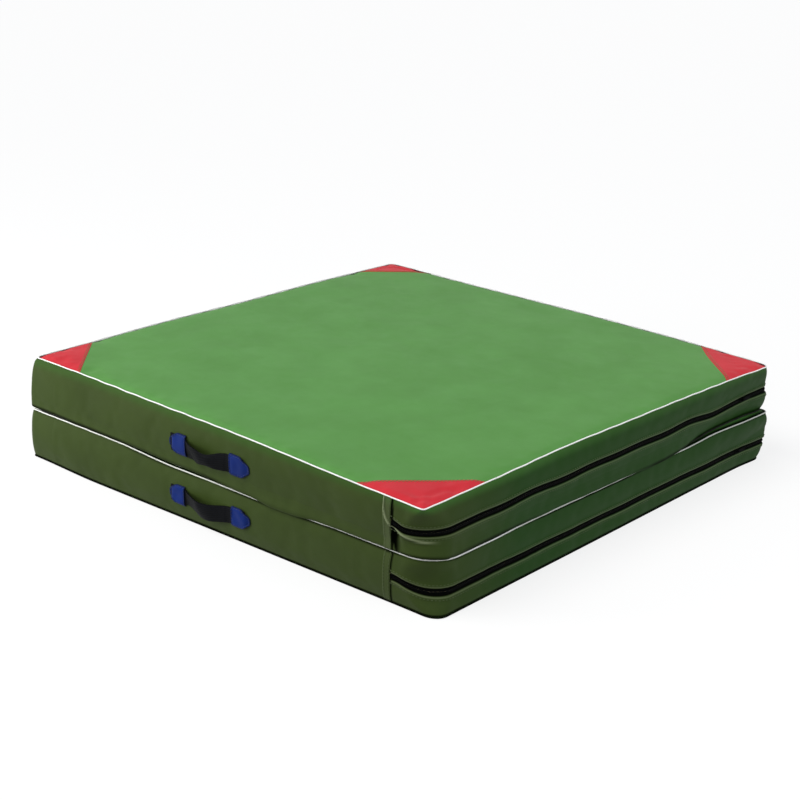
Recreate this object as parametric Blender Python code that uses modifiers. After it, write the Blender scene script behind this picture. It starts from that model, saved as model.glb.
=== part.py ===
"""Folding gymnastics mat, folded in two: a lower and an upper padded panel, hinged along one end.

Metres, +Z up. The origin is the middle of the underside. +X is the zip end, -X the hinge end,
-Y the front handle side and +Y the back handle side.
"""

import math
from dataclasses import dataclass

import bmesh
import bpy
from mathutils import Vector

# Overall size, folded
MAT_LENGTH = 1.000  # X, hinge end to zip end
MAT_WIDTH = 1.000  # Y, between the handle sides
PANEL_HEIGHT = 0.100  # Z, each of the two panels
CLEARANCE = 0.0003  # between pieces that touch

# Coated fabric cover
FABRIC = 0.0012
PIPING_DIAMETER = 0.0056
PIPING_PROUD = 0.0014  # how far the piping stands out of the gusset and of the outer sheet
SIDE_SWELL = 0.0029  # how far the padded side swells out of its seams at mid-height
CORNER_ZONE = 0.080  # from a panel's corner to where its zip gusset is sewn to the plain one
CORNER_PATCH_LEG = 0.140

# Padded form: the front corner of the zip end is slack and rounds off between its seams
OUTER_CORNER_RADIUS = 0.011  # at the upper panel's top
MIDDLE_CORNER_RADIUS = 0.060  # half-way up both panels
INNER_CORNER_RADIUS = 0.045  # at the seams where the panels meet
UNDER_CORNER_RADIUS = 0.024  # at the underside
FULL_CORNER_RADIUS = 0.015  # of the three corners that the foam fills
LEAST_RADIUS = 0.002
TOP_CROWN = 0.006  # how far the middle of the top stands above its corners
INNER_TUCK = 0.005  # how far the upper panel's bottom seam is drawn in
TUCK_RUN = 0.333  # from the hinge end to where that seam is fully drawn in

# Foam core, two bonded layers
FOAM_SPLIT = 0.050  # height of the joint between the layers, above the panel's underside
CROWN_EASE = 0.0006  # more room between the foam and a crowned sheet
SIDE_EASE = 0.0003  # more room between the foam and the zip tapes, which bend round the corners

# Zip
ZIP_TAPE = 0.0006
ZIP_TAPE_WIDTH = 0.014
ZIP_TAPE_GAP = 0.001
ZIP_CHAIN_WIDTH = 0.006
ZIP_CHAIN_DEPTH = 0.0014
ZIP_WINDOW = 0.011  # between the folded lips of the gusset
LOWER_ZIP_HEIGHT = 0.038  # above the underside of its panel
UPPER_ZIP_HEIGHT = 0.044
SLIDER_LENGTH = 0.013
SLIDER_WALL = 0.0009
SLIDER_PLATE = 0.0012
SLIDER_BRIDGE_RADIUS = 0.003
SLIDER_BRIDGE_WIRE = 0.0016
SLIDER_FROM_CORNER = 0.095  # parked place, from the back corner
PULL_LENGTH = 0.026
PULL_WIDTH = 0.0064
PULL_THICKNESS = 0.0014
PULL_NOSE = 0.0019  # cut from the corners of its free end
PULL_PLAY = 0.0006  # between its eye and the slider's bridge

# Handles
HANDLE_FROM_HINGE_END = 0.502  # centre of each handle
LOWER_HANDLE_HEIGHT = 0.048  # above the underside of its panel
UPPER_HANDLE_HEIGHT = 0.043
HANDLE_SPAN = 0.118  # free webbing between its two patches
STRAP_WIDTH = 0.030
STRAP_THICKNESS = 0.002
STRAP_STANDOFF = 0.014  # how far its middle stands out
STRAP_DROOP = 0.006  # how far its middle hangs down
STRAP_END_LENGTH = 0.033
PATCH_LENGTH = 0.050
PATCH_SHOULDER = 0.028
PATCH_HEIGHT = 0.043
PATCH_TIP = 0.012
PATCH_SLOPE = 0.0035

# Fabric hinge
HINGE_LEAF_HEIGHT = 0.038
HINGE_AXIS_GAP = 0.0005  # from each leaf's edge to the fold line
HINGE_AXIS_OUT = 0.001  # from the leaf's outer face out to the fold line

# How finely the rounded outline is divided
SIDE_STEPS = 6
CORNER_STEPS = 6
STRAP_STEPS = 16
BRIDGE_STEPS = 8
CROWN_RINGS = (0.68, 0.34)
LEVELS = (0.0, 0.25, 0.5, 0.75, 1.0)

HALF_X = MAT_LENGTH / 2
HALF_Y = MAT_WIDTH / 2
PIPING_RADIUS = PIPING_DIAMETER / 2
SEAM_INSET = SIDE_SWELL - PIPING_PROUD  # from the overall size in to the outside of the piping
FOAM_INSET = FABRIC + ZIP_TAPE + 2 * CLEARANCE + SIDE_EASE
SHEET_INSET = SEAM_INSET + PIPING_DIAMETER + CLEARANCE
FOAM_CHAMFER = (
    PIPING_DIAMETER + CLEARANCE + (PIPING_RADIUS + CLEARANCE) * math.sqrt(2)
    - (PIPING_PROUD + FOAM_INSET) - (FABRIC + CLEARANCE)
)
FOLD_AXIS = Vector((-(HALF_X + CLEARANCE + FABRIC + HINGE_AXIS_OUT), 0, PANEL_HEIGHT))

COLOURS = {  # colour, roughness, metallic
    "foam": ((0.72, 0.66, 0.42), 0.95, 0.0),
    "green vinyl": ((0.125, 0.305, 0.087), 0.45, 0.0),
    "olive vinyl": ((0.060, 0.089, 0.026), 0.50, 0.0),
    "red vinyl": ((0.658, 0.054, 0.056), 0.45, 0.0),
    "piping vinyl": ((0.78, 0.76, 0.68), 0.45, 0.0),
    "blue vinyl": ((0.015, 0.032, 0.170), 0.50, 0.0),
    "webbing": ((0.006, 0.006, 0.010), 0.85, 0.0),
    "zip tape": ((0.005, 0.005, 0.005), 0.85, 0.0),
    "zip nylon": ((0.006, 0.006, 0.006), 0.40, 0.0),
    "zip metal": ((0.010, 0.010, 0.010), 0.35, 0.9),
}


@dataclass
class Panel:
    name: str
    bottom: float
    top: float
    crown: float  # how far the middle of its top stands above its corners
    top_proud: float  # how far its top piping stands above its top sheet
    tuck: float  # how far its bottom seam is drawn in, away from the hinge end
    corner_radii: tuple  # of the slack corner, at the bottom seam, mid-height and the top seam
    zip_height: float
    handle_height: float
    outer_is_top: bool
    pivot: Vector  # its own origin: for the upper panel, on the fold line

    def top_at(self, x, y):
        return self.top - self.crown * ((x / HALF_X) ** 2 + (y / HALF_Y) ** 2) / 2

    def piping_height(self, x, y, at_top):
        """Height of the centre of the bottom or the top piping."""
        if at_top:
            return self.top_at(x, y) + self.top_proud - PIPING_RADIUS
        return self.bottom + CLEARANCE + PIPING_RADIUS


PANELS = (
    Panel(
        name="lower",
        bottom=0.0,
        top=PANEL_HEIGHT - CLEARANCE / 2,
        crown=0.0,
        top_proud=-CLEARANCE,
        tuck=0.0,
        corner_radii=(UNDER_CORNER_RADIUS, MIDDLE_CORNER_RADIUS, INNER_CORNER_RADIUS),
        zip_height=LOWER_ZIP_HEIGHT,
        handle_height=LOWER_HANDLE_HEIGHT,
        outer_is_top=False,
        pivot=Vector((0, 0, 0)),
    ),
    Panel(
        name="upper",
        bottom=PANEL_HEIGHT + CLEARANCE / 2,
        top=2 * PANEL_HEIGHT,
        crown=TOP_CROWN,
        top_proud=PIPING_PROUD,
        tuck=INNER_TUCK,
        corner_radii=(INNER_CORNER_RADIUS, MIDDLE_CORNER_RADIUS, OUTER_CORNER_RADIUS),
        zip_height=UPPER_ZIP_HEIGHT,
        handle_height=UPPER_HANDLE_HEIGHT,
        outer_is_top=True,
        pivot=FOLD_AXIS,
    ),
)


def clear_scene():
    for obj in list(bpy.data.objects):
        bpy.data.objects.remove(obj, do_unlink=True)


def new_collection(name):
    collection = bpy.data.collections.new(name)
    bpy.context.scene.collection.children.link(collection)
    return collection


def material(name):
    found = bpy.data.materials.get(name)
    if found:
        return found
    colour, roughness, metallic = COLOURS[name]
    made = bpy.data.materials.new(name)
    made.use_nodes = True
    shader = made.node_tree.nodes["Principled BSDF"]
    shader.inputs["Base Color"].default_value = (*colour, 1.0)
    shader.inputs["Roughness"].default_value = roughness
    shader.inputs["Metallic"].default_value = metallic
    made.diffuse_color = (*colour, 1.0)
    return made


def add_object(name, data, finish=None):
    """Links an object to the mat's collection, or to the cutters where it has no finish."""
    obj = bpy.data.objects.new(name, data)
    if finish:
        data.materials.append(material(finish))
        parts.objects.link(obj)
    else:
        obj.hide_render = True
        obj.display_type = "WIRE"
        cutters.objects.link(obj)
    return obj


def add_pivot(name, place):
    """An empty on a joint's axis, for the pieces that turn about it."""
    pivot = bpy.data.objects.new(name, None)
    pivot.empty_display_size = STRAP_WIDTH
    pivot.location = place
    parts.objects.link(pivot)
    return pivot


def carry(parent, *children):
    """Parents objects and leaves them where they are."""
    bpy.context.view_layer.update()
    for child in children:
        child.parent = parent
        child.matrix_parent_inverse = parent.matrix_world.inverted()


def mesh_from(name, bm):
    mesh = bpy.data.meshes.new(name)
    bm.to_mesh(mesh)
    bm.free()
    return mesh


def loft(name, rings, finish, closed=True):
    """A skin over rings of equal counts: a capped solid, or an open surface that needs a wall."""
    bm = bmesh.new()
    loops = [[bm.verts.new(point) for point in ring] for ring in rings]
    for low, high in zip(loops, loops[1:]):
        for i in range(len(low) if closed else len(low) - 1):
            j = (i + 1) % len(low)
            bm.faces.new((low[i], low[j], high[j], high[i]))
    if closed:
        bm.faces.new(reversed(loops[0]))
        bm.faces.new(loops[-1])
    mesh = mesh_from(name, bm)
    mesh.shade_smooth()
    mesh.set_sharp_from_angle(angle=math.radians(40))
    return add_object(name, mesh, finish)


def prism(name, outline, depth, finish=None, low=0.0):
    """A flat outline in the XY plane, thickened upwards from a height."""
    bm = bmesh.new()
    face = bm.faces.new([bm.verts.new((x, y, low)) for x, y in outline])
    grown = bmesh.ops.extrude_face_region(bm, geom=[face])["geom"]
    moved = [item for item in grown if isinstance(item, bmesh.types.BMVert)]
    bmesh.ops.translate(bm, verts=moved, vec=(0, 0, depth))
    bmesh.ops.recalc_face_normals(bm, faces=bm.faces)
    return add_object(name, mesh_from(name, bm), finish)


def box(name, low, high, finish=None):
    low, high = Vector(low), Vector(high)
    bm = bmesh.new()
    bmesh.ops.create_cube(bm, size=1)
    bmesh.ops.scale(bm, verts=bm.verts, vec=high - low)
    bmesh.ops.translate(bm, verts=bm.verts, vec=(low + high) / 2)
    return add_object(name, mesh_from(name, bm), finish)


def add_wall(obj, thickness, offset=-1.0):
    wall = obj.modifiers.new("wall", "SOLIDIFY")
    wall.thickness = thickness
    wall.offset = offset
    wall.use_even_offset = True


def add_cut(obj, cutter, operation="DIFFERENCE"):
    cut = obj.modifiers.new(cutter.name, "BOOLEAN")
    cut.operation = operation
    cut.object = cutter
    cut.solver = "EXACT"


# The outline of a panel: four straight sides and four rounded corners, as columns


def make_columns():
    """(side, corner angle or None, fraction along) anticlockwise from the front side's hinge end."""
    found = []
    for side in range(4):
        found += [(side, None, i / SIDE_STEPS) for i in range(SIDE_STEPS + 1)]
        found += [(side, math.pi / 2 * i / CORNER_STEPS, 1.0) for i in range(CORNER_STEPS + 1)]
    return found


COLUMNS = make_columns()
SIDE_COLUMNS = SIDE_STEPS + CORNER_STEPS + 2
FRONT_SEAM = SIDE_STEPS  # the last straight column of the front side
BACK_SEAM = 2 * SIDE_COLUMNS  # the first straight column of the back side
SLACK_SIDE = 0  # the front side, whose corner at the zip end is slack


def outline_point(column, inset, radius):
    side, angle, fraction = column
    half_along, half_out = (HALF_X, HALF_Y) if side % 2 == 0 else (HALF_Y, HALF_X)
    if angle is None:
        reach = half_along - CORNER_ZONE
        along, out = reach * (2 * fraction - 1), half_out - inset
    else:
        along = half_along - inset - radius * (1 - math.sin(angle))
        out = half_out - inset - radius * (1 - math.cos(angle))
    return ((along, -out), (out, along), (-along, out), (-out, -along))[side]


def section(panel, t, slack):
    """Inset from the overall size, tuck and corner radius of a side at t, from seam 0 to seam 1."""
    for low, high in zip(LEVELS, LEVELS[1:]):
        if t <= high:
            break
    share = (t - low) / (high - low)
    found = []
    for level in (low, high):
        swell = SIDE_SWELL * (1 - abs(2 * level - 1) ** 4)
        bottom, middle, top = panel.corner_radii
        radius = (
            bottom * (1 - level) * (1 - 2 * level)
            + middle * 4 * level * (1 - level)
            + top * level * (2 * level - 1)
        )
        if not slack:
            radius = FULL_CORNER_RADIUS
        found.append((SIDE_SWELL - swell, panel.tuck * (1 - level) ** 6, radius))
    return [a + (b - a) * share for a, b in zip(*found)]


def tuck_share(x):
    """0 at the hinge end, where the fabric hinge holds the seam out, to 1 past TUCK_RUN."""
    along = min(max((x + HALF_X) / TUCK_RUN, 0), 1)
    return along * along * (3 - 2 * along)


def side_point(panel, column, t, inset=0.0):
    """The (x, y) of a side's outer face at t, moved in by inset."""
    base, tuck, radius = section(panel, t, slack=column[0] == SLACK_SIDE)
    inner_radius = max(radius - inset, LEAST_RADIUS)
    drawn_radius = max(radius - inset - tuck, LEAST_RADIUS)
    plain = Vector(outline_point(column, base + inset, inner_radius))
    drawn = Vector(outline_point(column, base + inset + tuck, drawn_radius))
    return plain.lerp(drawn, tuck_share(plain.x))


def gusset_limits(panel, column):
    """Heights of the gusset's lower and upper edges at a column."""
    x, y = side_point(panel, column, 1.0)
    reach = PIPING_RADIUS + CLEARANCE
    return panel.piping_height(x, y, False) + reach, panel.piping_height(x, y, True) - reach


def side_ring(panel, t, inset=0.0, columns=COLUMNS):
    ring = []
    for column in columns:
        low, high = gusset_limits(panel, column)
        ring.append((*side_point(panel, column, t, inset), low + (high - low) * t))
    return ring


def level_ring(panel, height, inset=0.0, columns=COLUMNS):
    """As side_ring, at one height all the way round."""
    ring = []
    for column in columns:
        low, high = gusset_limits(panel, column)
        ring.append((*side_point(panel, column, (height - low) / (high - low), inset), height))
    return ring


def seam_ring(panel, at_top, inset, height):
    """A ring that follows a seam, moved in by inset from the outside of its piping."""
    ring = []
    for column in COLUMNS:
        x, y = side_point(panel, column, float(at_top), inset - PIPING_PROUD)
        ring.append((x, y, height(x, y)))
    return ring


def shrunk(ring, share, height):
    return [(x * share, y * share, height(x * share, y * share)) for x, y, _ in ring]


# Foam core


def add_foam(panel):
    inset = FOAM_INSET
    edge_inset = PIPING_PROUD + FOAM_INSET + FOAM_CHAMFER
    floor = panel.bottom + FABRIC + CLEARANCE
    split = panel.bottom + FOAM_SPLIT

    def ceiling(x, y):
        ease = CROWN_EASE if panel.crown else 0
        return panel.top_at(x, y) - FABRIC - CLEARANCE - ease

    rings = [
        seam_ring(panel, False, edge_inset, lambda x, y: floor),
        [(x, y, floor + FOAM_CHAMFER) for x, y, _ in side_ring(panel, 0.0, inset)],
        side_ring(panel, LEVELS[1], inset),
        level_ring(panel, split - CLEARANCE / 2, inset),
    ]
    loft(f"{panel.name}_foam_base", rings, "foam")

    top = seam_ring(panel, True, edge_inset, ceiling)
    shoulder = [(x, y, ceiling(x, y) - FOAM_CHAMFER) for x, y, _ in side_ring(panel, 1.0, inset)]
    rings = [
        level_ring(panel, split + CLEARANCE / 2, inset),
        side_ring(panel, LEVELS[3], inset),
        shoulder,
        top,
    ]
    if panel.crown:
        rings += [shrunk(top, share, ceiling) for share in CROWN_RINGS]
    loft(f"{panel.name}_foam_top", rings, "foam")


# Cover sheets, with a contrasting patch let into each corner of the outer one


def sheet_rings(panel, at_top):
    def outside(x, y):
        return panel.top_at(x, y) if at_top else panel.bottom

    def inside(x, y):
        return outside(x, y) + (-FABRIC if at_top else FABRIC)

    low, high = (inside, outside) if at_top else (outside, inside)
    inset = SHEET_INSET - SEAM_INSET
    shares = CROWN_RINGS if at_top and panel.crown else ()
    under = seam_ring(panel, at_top, inset, low)
    over = seam_ring(panel, at_top, inset, high)
    return (
        [shrunk(under, share, low) for share in reversed(shares)]
        + [under, over]
        + [shrunk(over, share, high) for share in shares]
    )


def corner_cutter(name, sign_x, sign_y, leg, panel):
    """A tall triangular prism over one corner, its long side cutting the corner off."""
    reach = CORNER_PATCH_LEG  # past the corner, so that only the long side cuts
    corner = Vector((sign_x * HALF_X, sign_y * HALF_Y))
    out = Vector((sign_x, sign_y)) * reach
    ends = (Vector((-sign_x * leg, 0)), Vector((0, -sign_y * leg)))
    outline = [corner + ends[0], corner + ends[1], corner + ends[1] + out, corner + ends[0] + out]
    if sign_x * sign_y < 0:
        outline.reverse()
    cutter = prism(name, outline, 2 * PANEL_HEIGHT)
    cutter.location.z = panel.bottom - PANEL_HEIGHT / 2
    return cutter


def add_sheets(panel):
    outer_rings = sheet_rings(panel, panel.outer_is_top)
    outer = loft(f"{panel.name}_outer_sheet", outer_rings, "green vinyl")
    loft(f"{panel.name}_inner_sheet", sheet_rings(panel, not panel.outer_is_top), "green vinyl")
    seam = CLEARANCE * math.sqrt(2)
    for end, sign_x in (("hinge", -1), ("zip", 1)):
        for side, sign_y in (("front", -1), ("back", 1)):
            name = f"{panel.name}_corner_patch_{end}_{side}"
            leg = CORNER_PATCH_LEG
            patch = loft(name, outer_rings, "red vinyl")
            keep = corner_cutter(f"{name}_keep", sign_x, sign_y, leg, panel)
            add_cut(patch, keep, "INTERSECT")
            cut = corner_cutter(f"{name}_cut", sign_x, sign_y, leg + seam, panel)
            add_cut(outer, cut)


# Gussets: the plain one runs round the hinge end, the other holds the zip


def move_ends(rings, distance):
    """Moves the first and last point of each ring along X, to leave a seam's gap."""
    for ring in rings:
        for i in (0, -1):
            x, y, z = ring[i]
            ring[i] = (x + distance, y, z)
    return rings


def zip_columns():
    return COLUMNS[FRONT_SEAM : BACK_SEAM + 1]


def plain_columns():
    return COLUMNS[BACK_SEAM:] + COLUMNS[: FRONT_SEAM + 1]


def add_gussets(panel):
    rings = [side_ring(panel, t, columns=plain_columns()) for t in LEVELS]
    gusset = loft(f"{panel.name}_plain_gusset", move_ends(rings, -CLEARANCE / 2), "olive vinyl", False)
    add_wall(gusset, FABRIC)

    zip_line = panel.bottom + panel.zip_height
    lips = [level_ring(panel, zip_line + way * ZIP_WINDOW / 2, columns=zip_columns()) for way in (-1, 1)]
    low = [side_ring(panel, t, columns=zip_columns()) for t in LEVELS[:2]] + lips[:1]
    high = lips[1:] + [side_ring(panel, t, columns=zip_columns()) for t in LEVELS[3:]]
    for name, rings in (("lower", low), ("upper", high)):
        strip = loft(
            f"{panel.name}_zip_gusset_{name}", move_ends(rings, CLEARANCE / 2), "olive vinyl", False
        )
        add_wall(strip, FABRIC)


def add_piping(panel):
    for at_top in (False, True):
        which = "outer" if at_top == panel.outer_is_top else "inner"
        name = f"{panel.name}_{which}_piping"
        curve = bpy.data.curves.new(name, "CURVE")
        curve.dimensions = "3D"
        curve.bevel_depth = PIPING_RADIUS
        curve.bevel_resolution = 2
        points = seam_ring(
            panel, at_top, PIPING_RADIUS, lambda x, y: panel.piping_height(x, y, at_top)
        )
        spline = curve.splines.new("POLY")
        spline.points.add(len(points) - 1)
        spline.use_cyclic_u = True
        for point, place in zip(spline.points, points):
            point.co = (*place, 1)
        add_object(name, curve, "piping vinyl")


# Zip: two tapes behind the lips, the closed chain between them, a slider and its pull


def strip_rings(panel, low, high, inset):
    """Rings of a strip between two heights, with one more wherever the side's face bends between."""
    bends = [side_ring(panel, t, inset, zip_columns()) for t in LEVELS]
    between = [ring for ring in bends if low < min(z for *_, z in ring) and max(z for *_, z in ring) < high]
    ends = [level_ring(panel, height, inset, zip_columns()) for height in (low, high)]
    return move_ends([ends[0], *between, ends[1]], CLEARANCE / 2)


def add_zip(panel):
    zip_line = panel.bottom + panel.zip_height
    behind = FABRIC + CLEARANCE
    for name, way in (("lower", -1), ("upper", 1)):
        near, far = way * ZIP_TAPE_GAP / 2, way * (ZIP_TAPE_GAP / 2 + ZIP_TAPE_WIDTH)
        rings = strip_rings(panel, zip_line + min(near, far), zip_line + max(near, far), behind)
        tape = loft(f"{panel.name}_zip_tape_{name}", rings, "zip tape", False)
        add_wall(tape, ZIP_TAPE)
    half = ZIP_CHAIN_WIDTH / 2
    rings = strip_rings(panel, zip_line - half, zip_line + half, behind - CLEARANCE - ZIP_CHAIN_DEPTH)
    chain = loft(f"{panel.name}_zip_chain", rings, "zip nylon", False)
    add_wall(chain, ZIP_CHAIN_DEPTH)


def slider_place(panel):
    """The face of the zip gusset at the parked slider."""
    return Vector((HALF_X, HALF_Y - SLIDER_FROM_CORNER, panel.bottom + panel.zip_height))


def pull_axis_out():
    """How far the pull's pivot stands out of the gusset's face."""
    return slider_front() + SLIDER_BRIDGE_WIRE


def slider_front():
    return ZIP_CHAIN_DEPTH - FABRIC + CLEARANCE + SLIDER_PLATE


def add_slider(panel):
    """A channel over the chain, with a wire bridge that holds the pull."""
    place = slider_place(panel)
    back = CLEARANCE - FABRIC + CLEARANCE
    inner = ZIP_CHAIN_WIDTH / 2 + CLEARANCE
    outer = inner + SLIDER_WALL
    plate = slider_front() - SLIDER_PLATE
    name = f"{panel.name}_zip_slider"
    channel = [
        (back, -outer), (slider_front(), -outer), (slider_front(), outer), (back, outer),
        (back, inner), (plate, inner), (plate, -inner), (back, -inner),
    ]
    slider = prism(name, [(x, -z) for x, z in channel], SLIDER_LENGTH, "zip metal")
    slider.rotation_euler = (-math.pi / 2, 0, 0)
    slider.location = place - Vector((0, SLIDER_LENGTH / 2, 0))

    radius = SLIDER_BRIDGE_RADIUS
    angles = [math.pi * i / BRIDGE_STEPS for i in range(BRIDGE_STEPS + 1)]
    arc = [(pull_axis_out() + radius * math.sin(a), -radius * math.cos(a)) for a in angles]
    foot = slider_front() - SLIDER_PLATE / 2
    route = [(foot, -radius), *arc, (foot, radius)]
    curve = bpy.data.curves.new(f"{name}_bridge", "CURVE")
    curve.dimensions = "3D"
    curve.bevel_depth = SLIDER_BRIDGE_WIRE / 2
    curve.bevel_resolution = 1
    curve.use_fill_caps = True
    spline = curve.splines.new("POLY")
    spline.points.add(len(route) - 1)
    for point, (x, y) in zip(spline.points, route):
        point.co = (x, y, 0, 1)
    drawn = bpy.data.objects.new(f"{name}_bridge", curve)
    drawn.location = place
    cutters.objects.link(drawn)
    bridge = meshed(drawn)
    add_cut(slider, bridge, "UNION")
    carry(slider, bridge)
    return slider


def meshed(curve_object):
    """Replaces a capped tube with a closed mesh that a Boolean can use."""
    bpy.context.view_layer.update()
    graph = bpy.context.evaluated_depsgraph_get()
    mesh = bpy.data.meshes.new_from_object(curve_object.evaluated_get(graph))
    bm = bmesh.new()
    bm.from_mesh(mesh)
    bmesh.ops.remove_doubles(bm, verts=bm.verts, dist=0.00001)
    bmesh.ops.recalc_face_normals(bm, faces=bm.faces)
    bm.to_mesh(mesh)
    bm.free()
    made = add_object(f"{curve_object.name}_mesh", mesh)
    made.matrix_world = curve_object.matrix_world
    bpy.data.objects.remove(curve_object, do_unlink=True)
    return made


def add_pull(panel, slider):
    """A flat tab whose end bar turns under the slider's bridge; at rest it lies along the zip."""
    name = f"{panel.name}_zip_pull"
    half = PULL_WIDTH / 2
    bar = PULL_THICKNESS / 2
    outline = [
        (-bar, -half), (PULL_LENGTH - PULL_NOSE, -half), (PULL_LENGTH, PULL_NOSE - half),
        (PULL_LENGTH, half - PULL_NOSE), (PULL_LENGTH - PULL_NOSE, half), (-bar, half),
    ]
    pull = prism(name, outline, PULL_THICKNESS, "zip metal", -bar)
    eye_near = bar + CLEARANCE
    eye_far = SLIDER_BRIDGE_RADIUS + SLIDER_BRIDGE_WIRE / 2 + PULL_PLAY
    eye_half = SLIDER_BRIDGE_WIRE / 2 + PULL_PLAY
    eye = box(
        f"{name}_eye",
        (eye_near, -eye_half, -PULL_THICKNESS),
        (eye_far, eye_half, PULL_THICKNESS),
    )
    add_cut(pull, eye)
    # The origin is on the tab's own axis. Local X runs along the zip towards the back corner,
    # and local Z out of the face.
    for obj in (pull, eye):
        obj.rotation_euler = (math.pi / 2, 0, math.pi / 2)
        obj.location = slider_place(panel) + Vector((pull_axis_out(), 0, 0))
    carry(pull, eye)
    carry(slider, pull)


# Handles


def handle_frame(panel, side):
    """The middle of a handle on the gusset's face, and the way out of that face."""
    way = -1 if side == "front" else 1
    place = Vector((HANDLE_FROM_HINGE_END - HALF_X, way * HALF_Y, panel.bottom + panel.handle_height))
    return place, way


def add_strap(panel, side):
    """The free webbing, which turns about its upper edge."""
    place, way = handle_frame(panel, side)
    reach = HANDLE_SPAN / 2 - CLEARANCE
    edges = ([], [])
    for i in range(STRAP_STEPS + 1):
        x = reach * (2 * i / STRAP_STEPS - 1)
        share = (1 + math.cos(math.pi * x / reach)) / 2
        out = CLEARANCE + STRAP_THICKNESS / 2 + STRAP_STANDOFF * share
        for edge, half in zip(edges, (-STRAP_WIDTH / 2, STRAP_WIDTH / 2)):
            edge.append(place + Vector((x, way * out, half - STRAP_DROOP * share)))
    strap = loft(f"{panel.name}_{side}_handle_strap", edges, "webbing", False)
    add_wall(strap, STRAP_THICKNESS, 0.0)
    axis = place + Vector((0, way * (CLEARANCE + STRAP_THICKNESS / 2), STRAP_WIDTH / 2))
    pivot = add_pivot(f"{panel.name}_{side}_handle_pivot", axis)
    carry(pivot, strap)


def patch_outline(margin=0.0):
    """Pentagon with a blunt tip: (along from the strap's mouth, up), its mouth side not moved in."""
    half = PATCH_HEIGHT / 2 - margin
    tip = PATCH_TIP / 2 - margin / 2
    shoulder = PATCH_SHOULDER - margin / 2
    length = PATCH_LENGTH - margin
    return [(0, -half), (shoulder, -half), (length, -tip), (length, tip), (shoulder, half), (0, half)]


def add_handle_ends(panel, side):
    """Each sewn end of the strap, and the patch that is sewn over it."""
    place, way = handle_frame(panel, side)
    pocket_top = 2 * CLEARANCE + STRAP_THICKNESS
    rises = ((0.0, 0.0), (FABRIC, 0.0), (pocket_top + FABRIC - CLEARANCE, PATCH_SLOPE))
    for end, sign in (("hinge", -1), ("zip", 1)):
        mouth = place + Vector((sign * HANDLE_SPAN / 2, 0, 0))
        rings = [
            [
                mouth + Vector((sign * along, way * (CLEARANCE + rise), up))
                for along, up in patch_outline(margin)
            ]
            for rise, margin in rises
        ]
        if sign * way > 0:
            rings = [ring[::-1] for ring in rings]
        patch = loft(f"{panel.name}_{side}_patch_{end}", rings, "blue vinyl")

        def corners(from_along, to_along, half, from_out, to_out):
            xs = sorted((sign * from_along, sign * to_along))
            ys = sorted((way * from_out, way * to_out))
            return (
                mouth + Vector((xs[0], ys[0], -half)),
                mouth + Vector((xs[1], ys[1], half)),
            )

        half = STRAP_WIDTH / 2
        strap_end = corners(0, STRAP_END_LENGTH, half, CLEARANCE, CLEARANCE + STRAP_THICKNESS)
        box(f"{panel.name}_{side}_strap_end_{end}", *strap_end, "webbing")
        pocket = corners(
            -STRAP_WIDTH, STRAP_END_LENGTH + CLEARANCE, half + CLEARANCE, -STRAP_WIDTH, pocket_top
        )
        add_cut(patch, box(f"{panel.name}_{side}_pocket_{end}", *pocket))


# Fabric hinge along the hinge end: one leaf on each panel, meeting at the fold line


def add_hinge_leaf(panel):
    x = -(HALF_X + CLEARANCE)
    reach = HALF_Y - CORNER_ZONE
    if panel.outer_is_top:
        low = PANEL_HEIGHT + HINGE_AXIS_GAP
    else:
        low = PANEL_HEIGHT - HINGE_AXIS_GAP - HINGE_LEAF_HEIGHT
    box(
        f"{panel.name}_hinge_leaf",
        (x - FABRIC, -reach, low),
        (x, reach, low + HINGE_LEAF_HEIGHT),
        "olive vinyl",
    )


clear_scene()
parts = new_collection("gymnastics_mat")
cutters = new_collection("cutters")
for panel in PANELS:
    add_foam(panel)
    add_sheets(panel)
    add_gussets(panel)
    add_piping(panel)
    add_zip(panel)
    add_pull(panel, add_slider(panel))
    for side in ("front", "back"):
        add_strap(panel, side)
        add_handle_ends(panel, side)
    add_hinge_leaf(panel)
    loose = [obj for obj in bpy.data.objects if obj.name.startswith(panel.name) and not obj.parent]
    carry(add_pivot(f"{panel.name}_panel_pivot", panel.pivot), *loose)
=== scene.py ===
import math
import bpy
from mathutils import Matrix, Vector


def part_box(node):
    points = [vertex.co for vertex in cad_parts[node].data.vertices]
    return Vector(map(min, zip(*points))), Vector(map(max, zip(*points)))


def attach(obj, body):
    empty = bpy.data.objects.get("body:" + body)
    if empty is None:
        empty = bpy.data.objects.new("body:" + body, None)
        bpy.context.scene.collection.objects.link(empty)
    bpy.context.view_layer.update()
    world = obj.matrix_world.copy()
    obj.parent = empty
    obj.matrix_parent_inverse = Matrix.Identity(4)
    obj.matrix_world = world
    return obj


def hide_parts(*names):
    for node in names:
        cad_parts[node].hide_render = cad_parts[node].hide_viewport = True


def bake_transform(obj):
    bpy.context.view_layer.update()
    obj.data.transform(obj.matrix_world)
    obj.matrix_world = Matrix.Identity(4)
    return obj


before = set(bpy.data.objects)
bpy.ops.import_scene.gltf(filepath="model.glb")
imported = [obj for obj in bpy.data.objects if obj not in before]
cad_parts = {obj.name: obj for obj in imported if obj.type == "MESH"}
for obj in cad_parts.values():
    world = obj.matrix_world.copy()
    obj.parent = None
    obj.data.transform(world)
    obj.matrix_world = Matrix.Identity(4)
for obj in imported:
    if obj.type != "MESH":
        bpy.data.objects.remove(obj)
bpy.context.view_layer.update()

from types import SimpleNamespace

import bmesh
import bpy
import numpy as np
from mathutils import Matrix, Vector

# Folding gymnastics mat: two padded panels in piped covers, folded on top of each other.
# Metres, +Z up. -Y is the front handle side, +X the zip end and -X the hinge end.

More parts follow.
